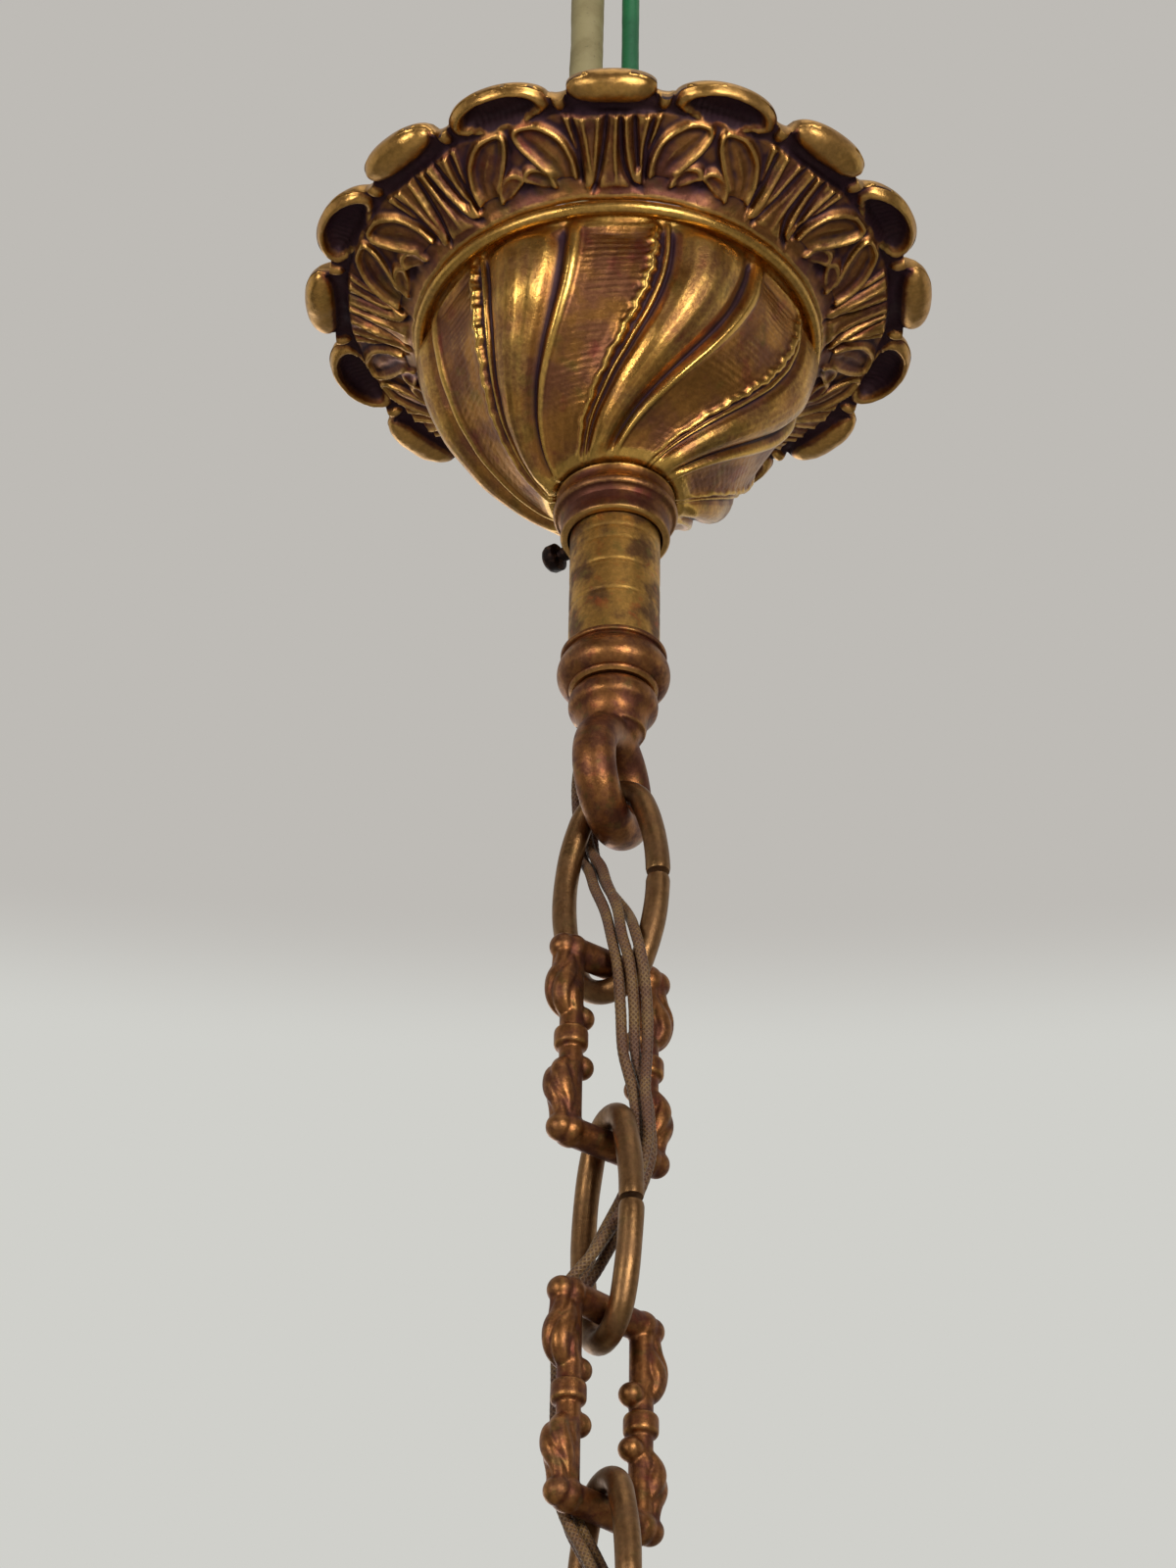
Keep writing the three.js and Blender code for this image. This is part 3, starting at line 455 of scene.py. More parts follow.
def ropeCloth(sheet):  # braided cloth over a round flex, on a map of turn and length in mm
    turn = sheet.node("SeparateXYZ", None, {0: sheet.node("TexCoord", output=2)})
    length = turn.output(1)
    place = sheet.node("TexCoord", output=3)
    over = ((turn * braid["strands"] + length / braid["pitch"]) * wholeTurn).sine()
    under = ((turn * braid["strands"] - length / braid["pitch"]) * wholeTurn).sine()
    weave = over.most(under) * 0.5 + 0.5
    worn = sheet.noise(place, 6, 3)
    fuzz = sheet.noise(place, 0.35, 2)
    color = sheet.mixed(sheet.eased(worn, 0.35, 0.65), braid["brown"], braid["gold"])
    # painted shade: the gaps between the woven strands darkened
    color = sheet.mixed(sheet.eased(weave, 0.2, 0.9, 0.6, 0.0), color, braid["gap"])
    color = sheet.dimmed(color, sheet.eased(fuzz, 0.3, 0.7, 0.8, 1.1))
    surface(sheet, color, sheet.eased(weave, 0.0, 1.0, 0.72, 0.5), 0.0, weave + fuzz * 0.5, 0.12,
            **{"Sheen Weight": 0.06, "Sheen Roughness": 0.4})


def sheath(sheet, plain, dirt, shade, rough, grain):
    place = sheet.node("TexCoord", output=3)
    patches = sheet.noise(place, 7, 4, 0.6)
    specks = sheet.noise(place, grain, 3)
    color = sheet.mixed(sheet.eased(patches, 0.42, 0.7, 0.0, 0.7), plain, dirt)
    color = sheet.mixed(sheet.eased(specks, 0.6, 0.75, 0.0, 0.5), color, shade)
    surface(sheet, color, sheet.eased(patches, 0.3, 0.7, rough, rough + 0.15), 0.0, specks, 0.05)


def blackIron(sheet):
    place = sheet.node("TexCoord", output=3)
    rust = sheet.noise(place, 1.6, 4, 0.6)
    grain = sheet.noise(place, 0.4, 3)
    rusty = sheet.eased(rust, 0.48, 0.7)
    color = sheet.mixed(rusty, (42, 32, 30), (86, 56, 38))
    surface(sheet, color, sheet.eased(rust, 0.3, 0.7, 0.42, 0.68), 1 - rusty * 0.6, grain, 0.08)


def clampBrass(sheet):
    place = sheet.node("TexCoord", output=3)
    dull = sheet.noise(place, 2.5, 4, 0.6)
    marks = sheet.noise(place, 0.5, 2)
    color = sheet.mixed(sheet.eased(dull, 0.4, 0.65), (196, 160, 88), (142, 106, 58))
    surface(sheet, color, sheet.eased(dull, 0.3, 0.7, 0.28, 0.5), 1.0, marks, 0.03)


def glazedPorcelain(sheet):
    place = sheet.node("TexCoord", output=3)
    hollow = sheet.node("Attribute", {"attribute_name": "hollow"}, output=2)
    cloud = sheet.noise(place, 5, 4, 0.6)
    specks = sheet.noise(place, 0.6, 2)
    color = sheet.mixed(sheet.eased(cloud, 0.35, 0.7), (226, 220, 202), (204, 196, 172))
    # painted shade: the glaze darker in the hollows
    color = sheet.mixed(sheet.eased(hollow, 0.02, 0.2, 0.0, 0.7), color, (120, 104, 80))
    color = sheet.mixed(sheet.eased(specks, 0.68, 0.74, 0.0, 0.6), color, (110, 92, 70))
    surface(sheet, color, sheet.eased(cloud, 0.3, 0.7, 0.16, 0.3), 0.0, cloud, 0.05, **{"Coat Weight": 0.4})


giltDome, shadedGiltFlange, giltCast, linkBronze, stemBrass = (
    newMaterial(name, bronze, look) for name, look in bronzeLooks.items())
blackSteel, plainBrass = newMaterial("blackSteel", blackIron), newMaterial("plainBrass", clampBrass)
porcelain, clothFlex = newMaterial("porcelain", glazedPorcelain), newMaterial("clothFlex", ropeCloth)
creamSheath = newMaterial("creamSheath", sheath, (160, 147, 104), (134, 120, 80), (108, 96, 66), 0.55, 0.7)
greenSheath = newMaterial("greenSheath", sheath, (34, 112, 66), (26, 84, 52), (22, 60, 42), 0.38, 0.8)
print("materials made")


def finished(piece, body, material, nodes, angle=None):  # a cord that bends has no body here
    pick(piece)
    if angle is None:
        bpy.ops.object.shade_smooth()
    else:
        bpy.ops.object.shade_smooth_by_angle(angle=math.radians(angle))
    piece.data.materials.clear()
    piece.data.materials.append(material)
    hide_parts(*nodes)
    if body:
        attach(piece, body)
    return piece


# Cords: cloth flexes down the stem and the chain, supply cable and earth wire up to the ceiling
wiring = {
    "flexDiameter": 1.9, "flexSides": 14, "flexStep": 0.6,
    "supplyDiameter": 6.8, "earthDiameter": 3.6,
    "splits": [-161.7, -194.8, -228.4, -262.0],  # heights where one stretch of flex ends and the next starts
    "pivots": [-144.1, -179.35, -210.3, -246.55, -277.5], "bendHalf": 7,
    "bodies": ["stem", "link_1", "link_2", "link_3", "link_4", "link_5"],
}
flexRoutes = [[
    (-10.3, 15, -15), (-10.3, 15, -19.5), (-8.7, 15.2, -23.4), (-5.2, 14.4, -26.4), (-2.2, 12, -27.5),
    (-1.2, 8.6, -27.5), (-1.2, 4.8, -27.8), (-1.2, 2, -30), (-1.2, 0.7, -34.5), (-1.2, 0.7, -60),
    (-1.2, 0.7, -90), (-2.6, 2.2, -113), (-5.1, 4.9, -123), (-6.2, 7.1, -130.9), (-5.6, 8.9, -140.4),
    (-5, 8.1, -145.9), (-3.7, 4.2, -151.9), (-2.8, 0.5, -157.9), (-1, -2.6, -164.9), (0.2, -4.6, -171.9),
    (1.2, -5.1, -177.9), (1.8, -4.3, -185.9), (2.3, -3.4, -193.9), (4, -2.1, -200.9),
    (4.7, -1.9, -206.9), (4.8, -1.9, -212.9), (2.9, -1.8, -219.9), (-0.3, -1.2, -226.9),
    (-3.1, -0.4, -232.9), (-5.5, 0.7, -238.9), (-5.6, 0.7, -255.9), (-5.2, 1, -273.9),
    (-3.9, 1.2, -278.9), (-1.1, 0.7, -284.9), (1.9, 0.5, -291.9), (4.1, 0.8, -298.9),
    (4.8, 0.9, -311.9), (3, 0.6, -319.9), (0.3, 0.1, -325.9), (0, 0, -332.9),
], [
    (-3.4, 15, -15), (-3.4, 15.1, -19), (-2.9, 15, -22.2), (-1.6, 13.6, -24.8), (-0.5, 11, -25.7),
    (0, 7.5, -25.7), (0, 3, -25.9), (0, -0.3, -28.2), (0, -1.4, -32.5), (0, -1.4, -60), (0, -1.4, -90),
    (-1.4, 0.1, -113), (-3.9, 2.8, -123), (-4.9, 5.1, -130.9), (-4.4, 6.9, -140.4), (-3.6, 5.9, -145.9),
    (-1.7, 2.5, -151.9), (-0.7, -0.9, -157.9), (1, -4, -164.9), (1.9, -5.9, -171.9),
    (3.2, -6.4, -177.9), (4, -5, -185.9), (4.4, -2.4, -193.9), (6.2, -1.2, -200.9), (6.9, -1.1, -206.9),
    (7, -1, -212.9), (5, -0.5, -219.9), (1.7, 0.4, -226.9), (-1.5, 1.7, -232.9), (-5, 3, -238.9),
    (-6.5, 2.9, -255.9), (-6.3, 3.1, -273.9), (-5.3, 3.2, -278.9), (-2.6, 2.7, -284.9),
    (0.6, 2.7, -291.9), (3.2, 3, -298.9), (4.2, 3.2, -311.9), (3.1, 4.1, -319.9), (0.7, 6.4, -325.9),
    (0, 6.9, -332.9),
], [
    (3.5, 15, -15), (3.5, 15.1, -19.5), (3.3, 14.9, -23), (2.5, 13.4, -26), (1.6, 10.8, -27.4),
    (1.2, 7.8, -27.5), (1.2, 4.8, -27.9), (1.2, 2, -30.1), (1.2, 0.7, -34.5), (1.2, 0.7, -60),
    (1.2, 0.7, -90), (-0.2, 2.1, -113), (-2.8, 4.9, -123), (-3.8, 7.1, -130.9), (-3.3, 8.9, -140.4),
    (-2.8, 8.2, -145.9), (-1.6, 5, -151.9), (-0.1, 1.5, -157.9), (2.9, -2, -164.9), (4.1, -6.8, -171.9),
    (5.3, -7.2, -177.9), (6.2, -5.3, -185.9), (6.3, -3.9, -193.9), (6, -3.8, -200.9),
    (6.4, -3.6, -206.9), (6.3, -3.7, -212.9), (4.4, -3.7, -219.9), (1.2, -3.3, -226.9),
    (-2.5, -2.8, -232.9), (-7, -1.1, -238.9), (-7.8, -0.2, -255.9), (-7.3, -0.4, -273.9),
    (-6, -0.5, -278.9), (-3.1, -0.9, -284.9), (0.1, -1.1, -291.9), (3.4, -1.7, -298.9),
    (5.3, -1.7, -311.9), (3.8, -3, -319.9), (0.9, -6, -325.9), (0, -6.9, -332.9),
]]
supplyRoute = [
    (-7.3, 15, -3.6), (-7.3, 15, 2), (-7.3, 15, 8), (-7.2, 15, 14), (-7.2, 15, 20), (-7.1, 15, 26),
    (-7.1, 15, 32), (-7, 15, 38), (-7, 15, 44), (-6.9, 15, 50), (-6.9, 15.1, 56), (-6.8, 15.1, 62),
    (-6.8, 15.1, 68), (-6.8, 15.1, 74), (-6.7, 15.1, 80), (-6.7, 15.1, 86), (-6.7, 15.1, 94.7),
]
earthRoute = [
    (3.5, 15, -3.6), (3.5, 15, 0), (3.4, 15, 5), (3.2, 15, 10), (2.9, 15, 16), (2.6, 15, 22),
    (2.3, 15, 28), (2.1, 15, 34), (2, 15, 40), (2, 15, 46), (2, 15, 52), (2, 15, 58), (2, 15, 64),
    (2, 15, 70), (2, 15, 76), (2, 15, 82), (2, 15, 88), (2, 15, 94.7),
]


for number, route in enumerate(flexRoutes, 1):
    line = routeLine(route, wiring["flexStep"])
    distance = lineDistance(line)
    angle = wholeTurn * np.arange(wiring["flexSides"]) / wiring["flexSides"]
    bulge = 1 + 0.025 * np.sin(5 * angle[None] + distance[:, None] * 4.8)  # the braid's own unevenness
    rings = sweptPoints(line, wiring["flexDiameter"] / 2 * bulge, wiring["flexSides"])
    marks = [0] + [int(np.argmin(abs(line[:, 2] - z))) for z in wiring["splits"]] + [len(line) - 1]
    for part, (first, last) in enumerate(zip(marks, marks[1:])):
        stretch = slice(first, last + 1)
        piece = tubePiece(f"flex_{number}_{'abcde'[part]}", rings[stretch], distance[stretch])
        finished(piece, None, clothFlex, [f"flex_wire_{number}"])
        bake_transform(piece)

for name, route, diameter, material, slot in (
        ("supply_lead", supplyRoute, wiring["supplyDiameter"], creamSheath, "cream_sheath"),
        ("earth_lead", earthRoute, wiring["earthDiameter"], greenSheath, "green_sheath")):
    line = routeLine(route, 0.8)
    distance = lineDistance(line)
    wobble = 1 + 0.012 * np.sin(distance * 0.35) + 0.006 * np.sin(distance * 1.3)
    piece = tubePiece(name, sweptPoints(line, diameter / 2 * wobble / wobble.max(), 32), distance)
    node = name.replace("lead", "cable" if "supply" in name else "wire")
    finished(piece, "stem", material, [node], 50)
print("cords made")

# Canopy: its parts are drawn from the canopy's own back rim, which is this far under the origin
canopyZ = -18.2
flange = {
    "inner": 37.6, "turn": -2, "sector": 45, "sides": 1152, "tierRows": 50, "lobeRows": 22,
    "tip": 50.7, "tipStep": 0.9, "notch": 54.9, "ground": 0.95,
    "bed": [(37.6, -13.2), (38.6, -13.1), (39.8, -12.3), (41.8, -10.6), (44, -9.1), (47, -7.3),
            (50.6, -5.3), (60, -3)],
    "channel": [(50, -3.9), (52, -3.4), (54.5, -3.1), (56, -2.7), (60, -2.5)],
    "lip": [(0.55, 0.35), (0.25, 1.0), (0, 2.1)],  # share of the edge's height, and how far in from it
    "back": [(51.5, 0), (49.8, -1.9), (48, -3.0), (45, -5.2), (41, -8.6), (38.4, -10.8), (37.6, -11.2)],
    "wavers": [(0.12, 7, 3), (0.05, 2.2, 4)],  # height, size and seed of the casting's unevenness
    "pillow": {"radius": 56.2, "halfWidth": 8.3, "halfDepth": 3.2, "z": -2.8, "bulge": 3.1},
    "shell": {"radius": 54.0, "halfWidth": 9.9, "outwards": 5.4, "inwards": 3.4, "ribPitch": 1.15,
              "ribHeight": 0.1, "section": [(0, -1.6), (0.45, -1.7), (0.6, -2.2), (0.72, -3.5),
                                            (0.79, -4.25), (0.86, -4.4), (0.94, -3.8), (1, -2.7)]},
    "lump": {"angle": 10.3, "radius": 54.2, "halfWidth": 1.25, "halfDepth": 2.3, "height": 1.5},
}
leaves = {  # one leaf group seen from below: across from its middle, out from the canopy's axis
    "cup": {"outline": [(6.6, 41.0), (7.5, 44.0), (9.8, 46.9), (13.8, 48.6), (17.2, 48.0), (18.1, 46.5),
                        (16.8, 44.6), (14.1, 42.6), (11.8, 41.2), (10.5, 39.9)],
            "body": 1.15, "edge": 0.6, "dish": 0.75, "start": (39.2, 41.6)},
    "small": {"outline": [(10.4, 38.9), (11.3, 40.5), (13.4, 41.5), (15.5, 41.0), (16.2, 39.6),
                          (14.8, 38.6), (12.4, 38.3)],
              "body": 0.95, "edge": 0.35, "dish": 0.45, "start": (38.2, 39.4)},
    "fan": [(38.5, 5.4), (41, 6.0), (44, 6.7), (47, 8.2), (51.5, 10.2)],  # half its width at each radius
    "pit": {"place": (15.6, 37.6), "half": (1.9, 1.2), "depth": 0.9},
    # the ribs and grooves of the fan aren't the same on both hands, so across may be negative
    "ribs": [[(-5.7, 51.0), (-4.7, 46.0), (-4.0, 41.4)], [(0.8, 51.0), (0.4, 45.0), (0.7, 40.4)],
             [(2.5, 50.6), (2.8, 45.0), (4.1, 39.8)], [(6.6, 50.8), (5.4, 46.0), (5.0, 42.0)],
             [(-2.6, 50.6), (-2.9, 47.0), (-3.3, 43.0)]],
    "grooves": [[(-0.9, 51.6), (-1.6, 46.0), (-2.7, 41.0), (-3.6, 38.6)],
                [(1.6, 50.6), (1.7, 44.5), (2.7, 41.0), (5.4, 38.4)],
                [(-7.7, 50.8), (-6.1, 45.0), (-5.5, 40.4)], [(8.0, 50.8), (6.0, 45.0), (5.7, 40.4)],
                [(4.2, 51.4), (4.2, 46.5), (4.6, 42.5)]],
    "fanHeight": 1.05, "ribHeight": 0.75, "ribHalf": 0.36, "grooveDepth": 1.25, "grooveHalf": 0.5,
}


def reach(x, y, points):  # distance to a line of points, and the share of the line at the nearest place
    best = np.full(x.shape, 1e9)
    along = np.zeros(x.shape)
    for k in range(len(points) - 1):
        a, b = points[k], points[k + 1]
        span = b - a
        t = np.clip(((x - a[0]) * span[0] + (y - a[1]) * span[1]) / (span @ span), 0, 1)
        d = np.hypot(x - a[0] - t * span[0], y - a[1] - t * span[1])
        along = np.where(d < best, (k + t) / (len(points) - 1), along)
        best = np.minimum(best, d)
    return best, along


def within(x, y, points):
    inside = np.zeros(x.shape, bool)
    for (x0, y0), (x1, y1) in zip(points, np.roll(points, -1, axis=0)):
        crossed = (y0 > y) != (y1 > y)
        inside ^= crossed & (x < (x1 - x0) * (y - y0) / (y1 - y0 + 1e-12) + x0)
    return inside


def leaf(x, y, shape):  # a raised leaf with a thin raised edge and a dished middle
    outline = np.array(rounded(shape["outline"]))
    body, dish = shape["body"], shape["dish"]
    distance, _ = reach(x, y, outline)
    middle = body - dish * step(0.3, 1.5, distance) + dish * 0.6 * step(1.6, 3.4, distance)
    side = body * np.exp(-(distance / 0.5) ** 2)
    rim = shape["edge"] * np.exp(-(distance / 0.4) ** 2)
    return (np.where(within(x, y, outline), middle, side) + rim) * step(*shape["start"], y)


def leafRelief(across, x, y):  # how far the carving stands below the ground
    half = np.interp(y, *np.array(leaves["fan"]).T)
    fan = leaves["fanHeight"] * step(0, 1.0, half - x) * step(38.4, 40.6, y)
    relief = np.maximum(np.maximum(leaf(x, y, leaves["cup"]), leaf(x, y, leaves["small"])), fan)
    for path in leaves["grooves"]:
        distance, along = reach(across, y, np.array(rounded(path)))
        fade = np.minimum(1, 3 * along + 0.35)
        relief -= leaves["grooveDepth"] * np.exp(-(distance / leaves["grooveHalf"]) ** 2) * fade
    for path in leaves["ribs"]:
        distance, along = reach(across, y, np.array(rounded(path)))
        fade = np.minimum(1, 3 * (1 - along) + 0.15)
        relief += leaves["ribHeight"] * np.exp(-(distance / leaves["ribHalf"]) ** 2) * fade
    pit = leaves["pit"]
    (pitX, pitY), (halfX, halfY) = pit["place"], pit["half"]
    away = ((x - pitX) / halfX) ** 2 + ((y - pitY) / halfY) ** 2
    return relief - pit["depth"] * np.exp(-away ** 1.4)


def sectorAngle(angle):  # from the middle of the nearest pillow lobe
    sector = flange["sector"]
    return np.radians((angle - flange["turn"] + sector / 2) % sector - sector / 2)


def besideShell(radius, sector):  # along the circle from the middle of the nearest shell lobe
    return radius * np.sin(np.abs(sector) - math.radians(flange["sector"] / 2))


def flangeUnder(radius, angle):  # height of the underside
    sector = sectorAngle(angle)
    across, y = radius * np.sin(sector), radius * np.cos(sector)
    x = np.abs(across)
    bed = np.interp(radius, *np.array(flange["bed"]).T)
    tier = bed + (flange["ground"] - leafRelief(across, x, y)) * step(38.2, 39.8, radius)
    lobes = np.interp(radius, *np.array(flange["channel"]).T)
    pillow, shell, lump = flange["pillow"], flange["shell"], flange["lump"]
    inside = 1 - (x / pillow["halfWidth"]) ** 2.5 - ((radius - pillow["radius"]) / pillow["halfDepth"]) ** 2
    cushion = pillow["z"] - pillow["bulge"] * np.sqrt(np.maximum(inside, 0))
    lobes = np.where(inside > 0, np.minimum(lobes, cushion), lobes)
    beside = besideShell(radius, sector)
    out = radius - shell["radius"]
    size = np.hypot(beside / shell["halfWidth"], out / np.where(out > 0, shell["outwards"], shell["inwards"]))
    bowl = np.interp(size, *np.array(shell["section"]).T)
    bowl -= shell["ribHeight"] * np.cos(beside * wholeTurn / shell["ribPitch"]) * step(0.75, 0.6, size)
    lobes = np.where(size < 1, np.where(size < 0.8, bowl, np.minimum(lobes, bowl)), lobes)
    away = radius * np.sin(np.abs(sector) - math.radians(lump["angle"]))
    inside = 1 - (away / lump["halfWidth"]) ** 2 - ((radius - lump["radius"]) / lump["halfDepth"]) ** 2
    lobes -= lump["height"] * np.sqrt(np.maximum(inside, 0))
    past = step(flange["tip"], flange["tip"] + flange["tipStep"], radius)
    return tier * (1 - past) + lobes * past


def lobeEdge(angle):
    sector = sectorAngle(angle)
    pillow, shell = flange["pillow"], flange["shell"]
    x = np.abs(pillow["radius"] * np.sin(sector)) / pillow["halfWidth"]
    leafLobe = pillow["radius"] + pillow["halfDepth"] * np.sqrt(np.maximum(1 - x**2.5, 0))
    x = besideShell(shell["radius"] + 1, sector) / shell["halfWidth"]
    shellLobe = shell["radius"] + shell["outwards"] * np.sqrt(np.maximum(1 - x**2, 0))
    leafLobe = np.where(leafLobe > pillow["radius"], leafLobe, 0)
    return np.maximum(np.maximum(leafLobe, shellLobe), flange["notch"])


angle = 360 * np.arange(flange["sides"]) / flange["sides"]
edge = lobeEdge(angle)
tierEnd = flange["tip"] + flange["tipStep"]
shares = np.linspace(0, 1, flange["tierRows"], endpoint=False)
underRadii = [np.full(len(angle), flange["inner"] + (tierEnd - flange["inner"]) * t) for t in shares]
shares = np.linspace(0, 1, flange["lobeRows"])
underRadii += [tierEnd + (edge - tierEnd) * math.sin(t * math.pi / 2) ** 0.8 for t in shares]
rows = [(radius, flangeUnder(radius, angle)) for radius in underRadii]
lipZ = rows[-1][1]
rows += [(edge - back, lipZ * share) for share, back in flange["lip"]]
rows += [(np.full(len(angle), radius), np.full(len(angle), z)) for radius, z in flange["back"]]
radii, heights = (np.stack([row[k] for row in rows]) for k in (0, 1))
around = np.radians(angle)[None]
points = np.stack([radii * np.sin(around), -radii * np.cos(around), heights + canopyZ], axis=-1)
carved = len(underRadii) - 1
points[:carved, :, 2] += sum(height * waver(points[:carved], *chance) for height, *chance in flange["wavers"])
piece = meshPiece("flange", points.reshape(-1, 3), gridFaces(len(rows), flange["sides"], True).tolist())
finished(markHollows(outwardFaces(piece), (12, 70)), "canopy", shadedGiltFlange, ["canopy_flange"])
print("flange made")

dome = {
    "rim": 35.6, "neck": 12.3, "top": -16.2, "bottom": -52.8, "bulge": 2.15, "wall": 2.9, "upstand": 1.9,
    "gadroons": 6, "start": 29, "turn": -46, "lag": 2.64, "sides": 640, "rings": 124, "innerRings": 12,
    "hatchPitch": 1.1, "hatchDepth": 0.16, "hatchStart": (0.335, 0.37), "hatchEnd": (0.665, 0.64),
    "depth": 1.2, "neckDepth": 0.26, "waverSize": 9, "waverSeed": 8, "waverHeight": 0.14,
    "jagged": (0.64, 0.73),  # where the leaf edge beside the hatching is torn, as a share of the pitch
    "halfWidth": (0.2, 0.13),  # of a gadroon, at the rim and at the neck, in pitches
    # one pitch across: share of the pitch, height in mm
    "section": [
        (-0.26, -0.9), (-0.225, -1.15), (-0.2, -0.4), (-0.17, 0.45), (-0.11, 1.25), (-0.04, 1.75),
        (0.03, 1.8), (0.1, 1.35), (0.16, 0.5), (0.2, -0.45), (0.235, -1.25), (0.262, -0.2), (0.287, 0.55),
        (0.315, 0.3), (0.335, -0.35), (0.4, -0.75), (0.5, -0.95), (0.6, -0.75), (0.655, -0.35),
        (0.675, 0.25), (0.692, 0.6), (0.708, -0.1), (0.722, -0.9)],
}


def domeOutline(t):
    radius = dome["rim"] + (dome["neck"] - dome["rim"]) * t ** dome["bulge"]
    return radius, dome["top"] + (dome["bottom"] - dome["top"]) * t


sectionKnots = np.array([(a - 1, h) for a, h in dome["section"]] + dome["section"]
                        + [(a + 1, h) for a, h in dome["section"]])
# thin ridge between the last groove and the next gadroon
thinRidge = {"place": 0.755, "width": 0.011, "height": 1.25}
fineShare = np.linspace(-1, 2, 3001)
sectionTable = np.interp(fineShare, sectionKnots[:, 0], sectionKnots[:, 1])
for shift in (-1, 0, 1):
    offset = (fineShare - thinRidge["place"] - shift) / thinRidge["width"]
    sectionTable += thinRidge["height"] * np.exp(-offset ** 2)
kernel = np.exp(-(np.arange(-24, 25) / 8.0) ** 2)
sectionTable = np.convolve(sectionTable, kernel / kernel.sum(), "same")

lengthT = np.linspace(0, 1, 600)
outlineR, outlineZ = domeOutline(lengthT)
lengthS = np.r_[0, np.cumsum(np.hypot(np.diff(outlineR), np.diff(outlineZ)))]
t = np.interp(np.linspace(0, lengthS[-1], dome["rings"]), lengthS, lengthT)[:, None]
share = (np.arange(dome["sides"]) / dome["sides"])[None]
radius, z = domeOutline(t)
slope = np.gradient(radius[:, 0]), np.gradient(z[:, 0])
normalR, normalZ = (-slope[1] / np.hypot(*slope))[:, None], (slope[0] / np.hypot(*slope))[:, None]
u = (share * dome["gadroons"] + 0.5) % 1 - 0.5
rimHalf, neckHalf = dome["halfWidth"]
half = rimHalf + (neckHalf - rimHalf) * t
outer = rimHalf + (np.abs(u) - half) * (0.5 - rimHalf) / (0.5 - half)
u = (np.sign(u) * np.where(np.abs(u) < half, np.abs(u) * rimHalf / half, outer)) % 1
jagged = 0.006 * np.sin(t * 57 + 9 * share) + 0.004 * np.sin(t * 131)
jagged *= (u > dome["jagged"][0]) & (u < dome["jagged"][1])
relief = np.interp(u + jagged, fineShare, sectionTable)
size = radius / dome["rim"]
relief = relief * dome["depth"] * (dome["neckDepth"] + (1 - dome["neckDepth"]) * size)
relief = relief * (0.3 + 0.7 * step(0, 0.08, t)) * (1 - 0.75 * step(0.94, 1, t))
along = np.interp(t, lengthT, lengthS)
hatchMask = step(*dome["hatchStart"], u) * step(*dome["hatchEnd"], u)
wander = 0.25 * np.sin(along * 0.9 + 11 * share)
hatch = np.abs(np.sin((along / dome["hatchPitch"] + 1.6 * u + wander) * math.pi))
relief += hatchMask * dome["hatchDepth"] * (hatch**0.6 - 0.6) * (0.4 + 0.6 * size)
turn = np.radians(share * 360 + dome["start"] + dome["turn"] * t ** dome["lag"])


def domePoints(radius, z, turn):
    return np.stack(np.broadcast_arrays(radius * np.sin(turn), -radius * np.cos(turn), z + canopyZ), axis=-1)


outside = domePoints(radius + normalR * relief, z + normalZ * relief * 0.9, turn)
unevenness = (waver(outside, dome["waverSize"], dome["waverSeed"]) * dome["waverHeight"])[..., None]
outside += normalR[..., None] * unevenness * np.stack((np.sin(turn), -np.cos(turn), 0 * turn), axis=-1)
upstand = domePoints(dome["rim"] + np.array([0.62, 0.4, 0])[:, None],  # closes the gap inside the rim ring
                     dome["top"] + dome["upstand"] * np.array([1, 0.7, 0.3])[:, None], turn[:1])
innerT = np.linspace(1, 0, dome["innerRings"])[:, None]
innerR, innerZ = domeOutline(innerT)
innerTurn = np.radians(share * 360 + dome["start"] + dome["turn"] * innerT ** dome["lag"])
inside = domePoints(innerR - dome["wall"], innerZ + dome["upstand"] * (1 - innerT) ** 8, innerTurn)
points = np.concatenate([upstand, outside, inside])
piece = meshPiece("dome", points.reshape(-1, 3), gridFaces(len(points), dome["sides"], True).tolist())
finished(markHollows(outwardFaces(piece), (12, 70)), "canopy", giltDome, ["canopy_dome"])
print("dome made")

rimRing = {"radius": 37.1, "half": 1.2, "tall": 1.38, "top": -13.15}
middleZ = rimRing["top"] - rimRing["tall"] + canopyZ
profile = []
for k in range(18):
    a = wholeTurn * k / 18
    stepIn = -0.28 if 3.6 < a < 4.5 else 0.0  # small step on the dome's side
    profile.append((rimRing["radius"] + (rimRing["half"] * 1.08 + stepIn) * math.cos(a),
                    middleZ + rimRing["tall"] * math.sin(a)))
piece = turnedPiece("rim_ring", profile, 256)
finished(markHollows(piece, (4, 12)), "canopy", giltDome, ["canopy_rim_ring"])

collar = {"low": -62.5, "top": -53.1, "bore": 8.7, "screwHole": 1.5, "holeEnd": 14}
screw = {"turn": 235, "start": 8.5, "radius": 1.3, "head": 2.6, "headLength": 2.2, "shank": 3.7, "rise": 2.1,
         "slot": (0.7, 6, 1.3)}
turnIn = math.radians(screw["turn"])
low, high = collar["low"] + canopyZ, collar["top"] + canopyZ
profile = rounded([(9.5, low), (9.95, low + 0.4), (10.0, low + 1.3), (9.85, low + 2.6), (9.9, low + 4.1),
                   (10.4, low + 4.8), (11.1, low + 5.1), (11.4, low + 5.9), (11.2, low + 6.8),
                   (10.6, low + 7.3), (10.6, low + 8.3), (10.9, high)], 4, (0, 4, 9))
piece = turnedPiece("collar", [(collar["bore"], low), *profile, (collar["bore"], high)], 160)
holeZ, holeEnd = low + screw["rise"], collar["holeEnd"]
end = (holeEnd * math.sin(turnIn), -holeEnd * math.cos(turnIn), holeZ)
cutAway(piece, [rod((0, 0, holeZ), end, collar["screwHole"])])
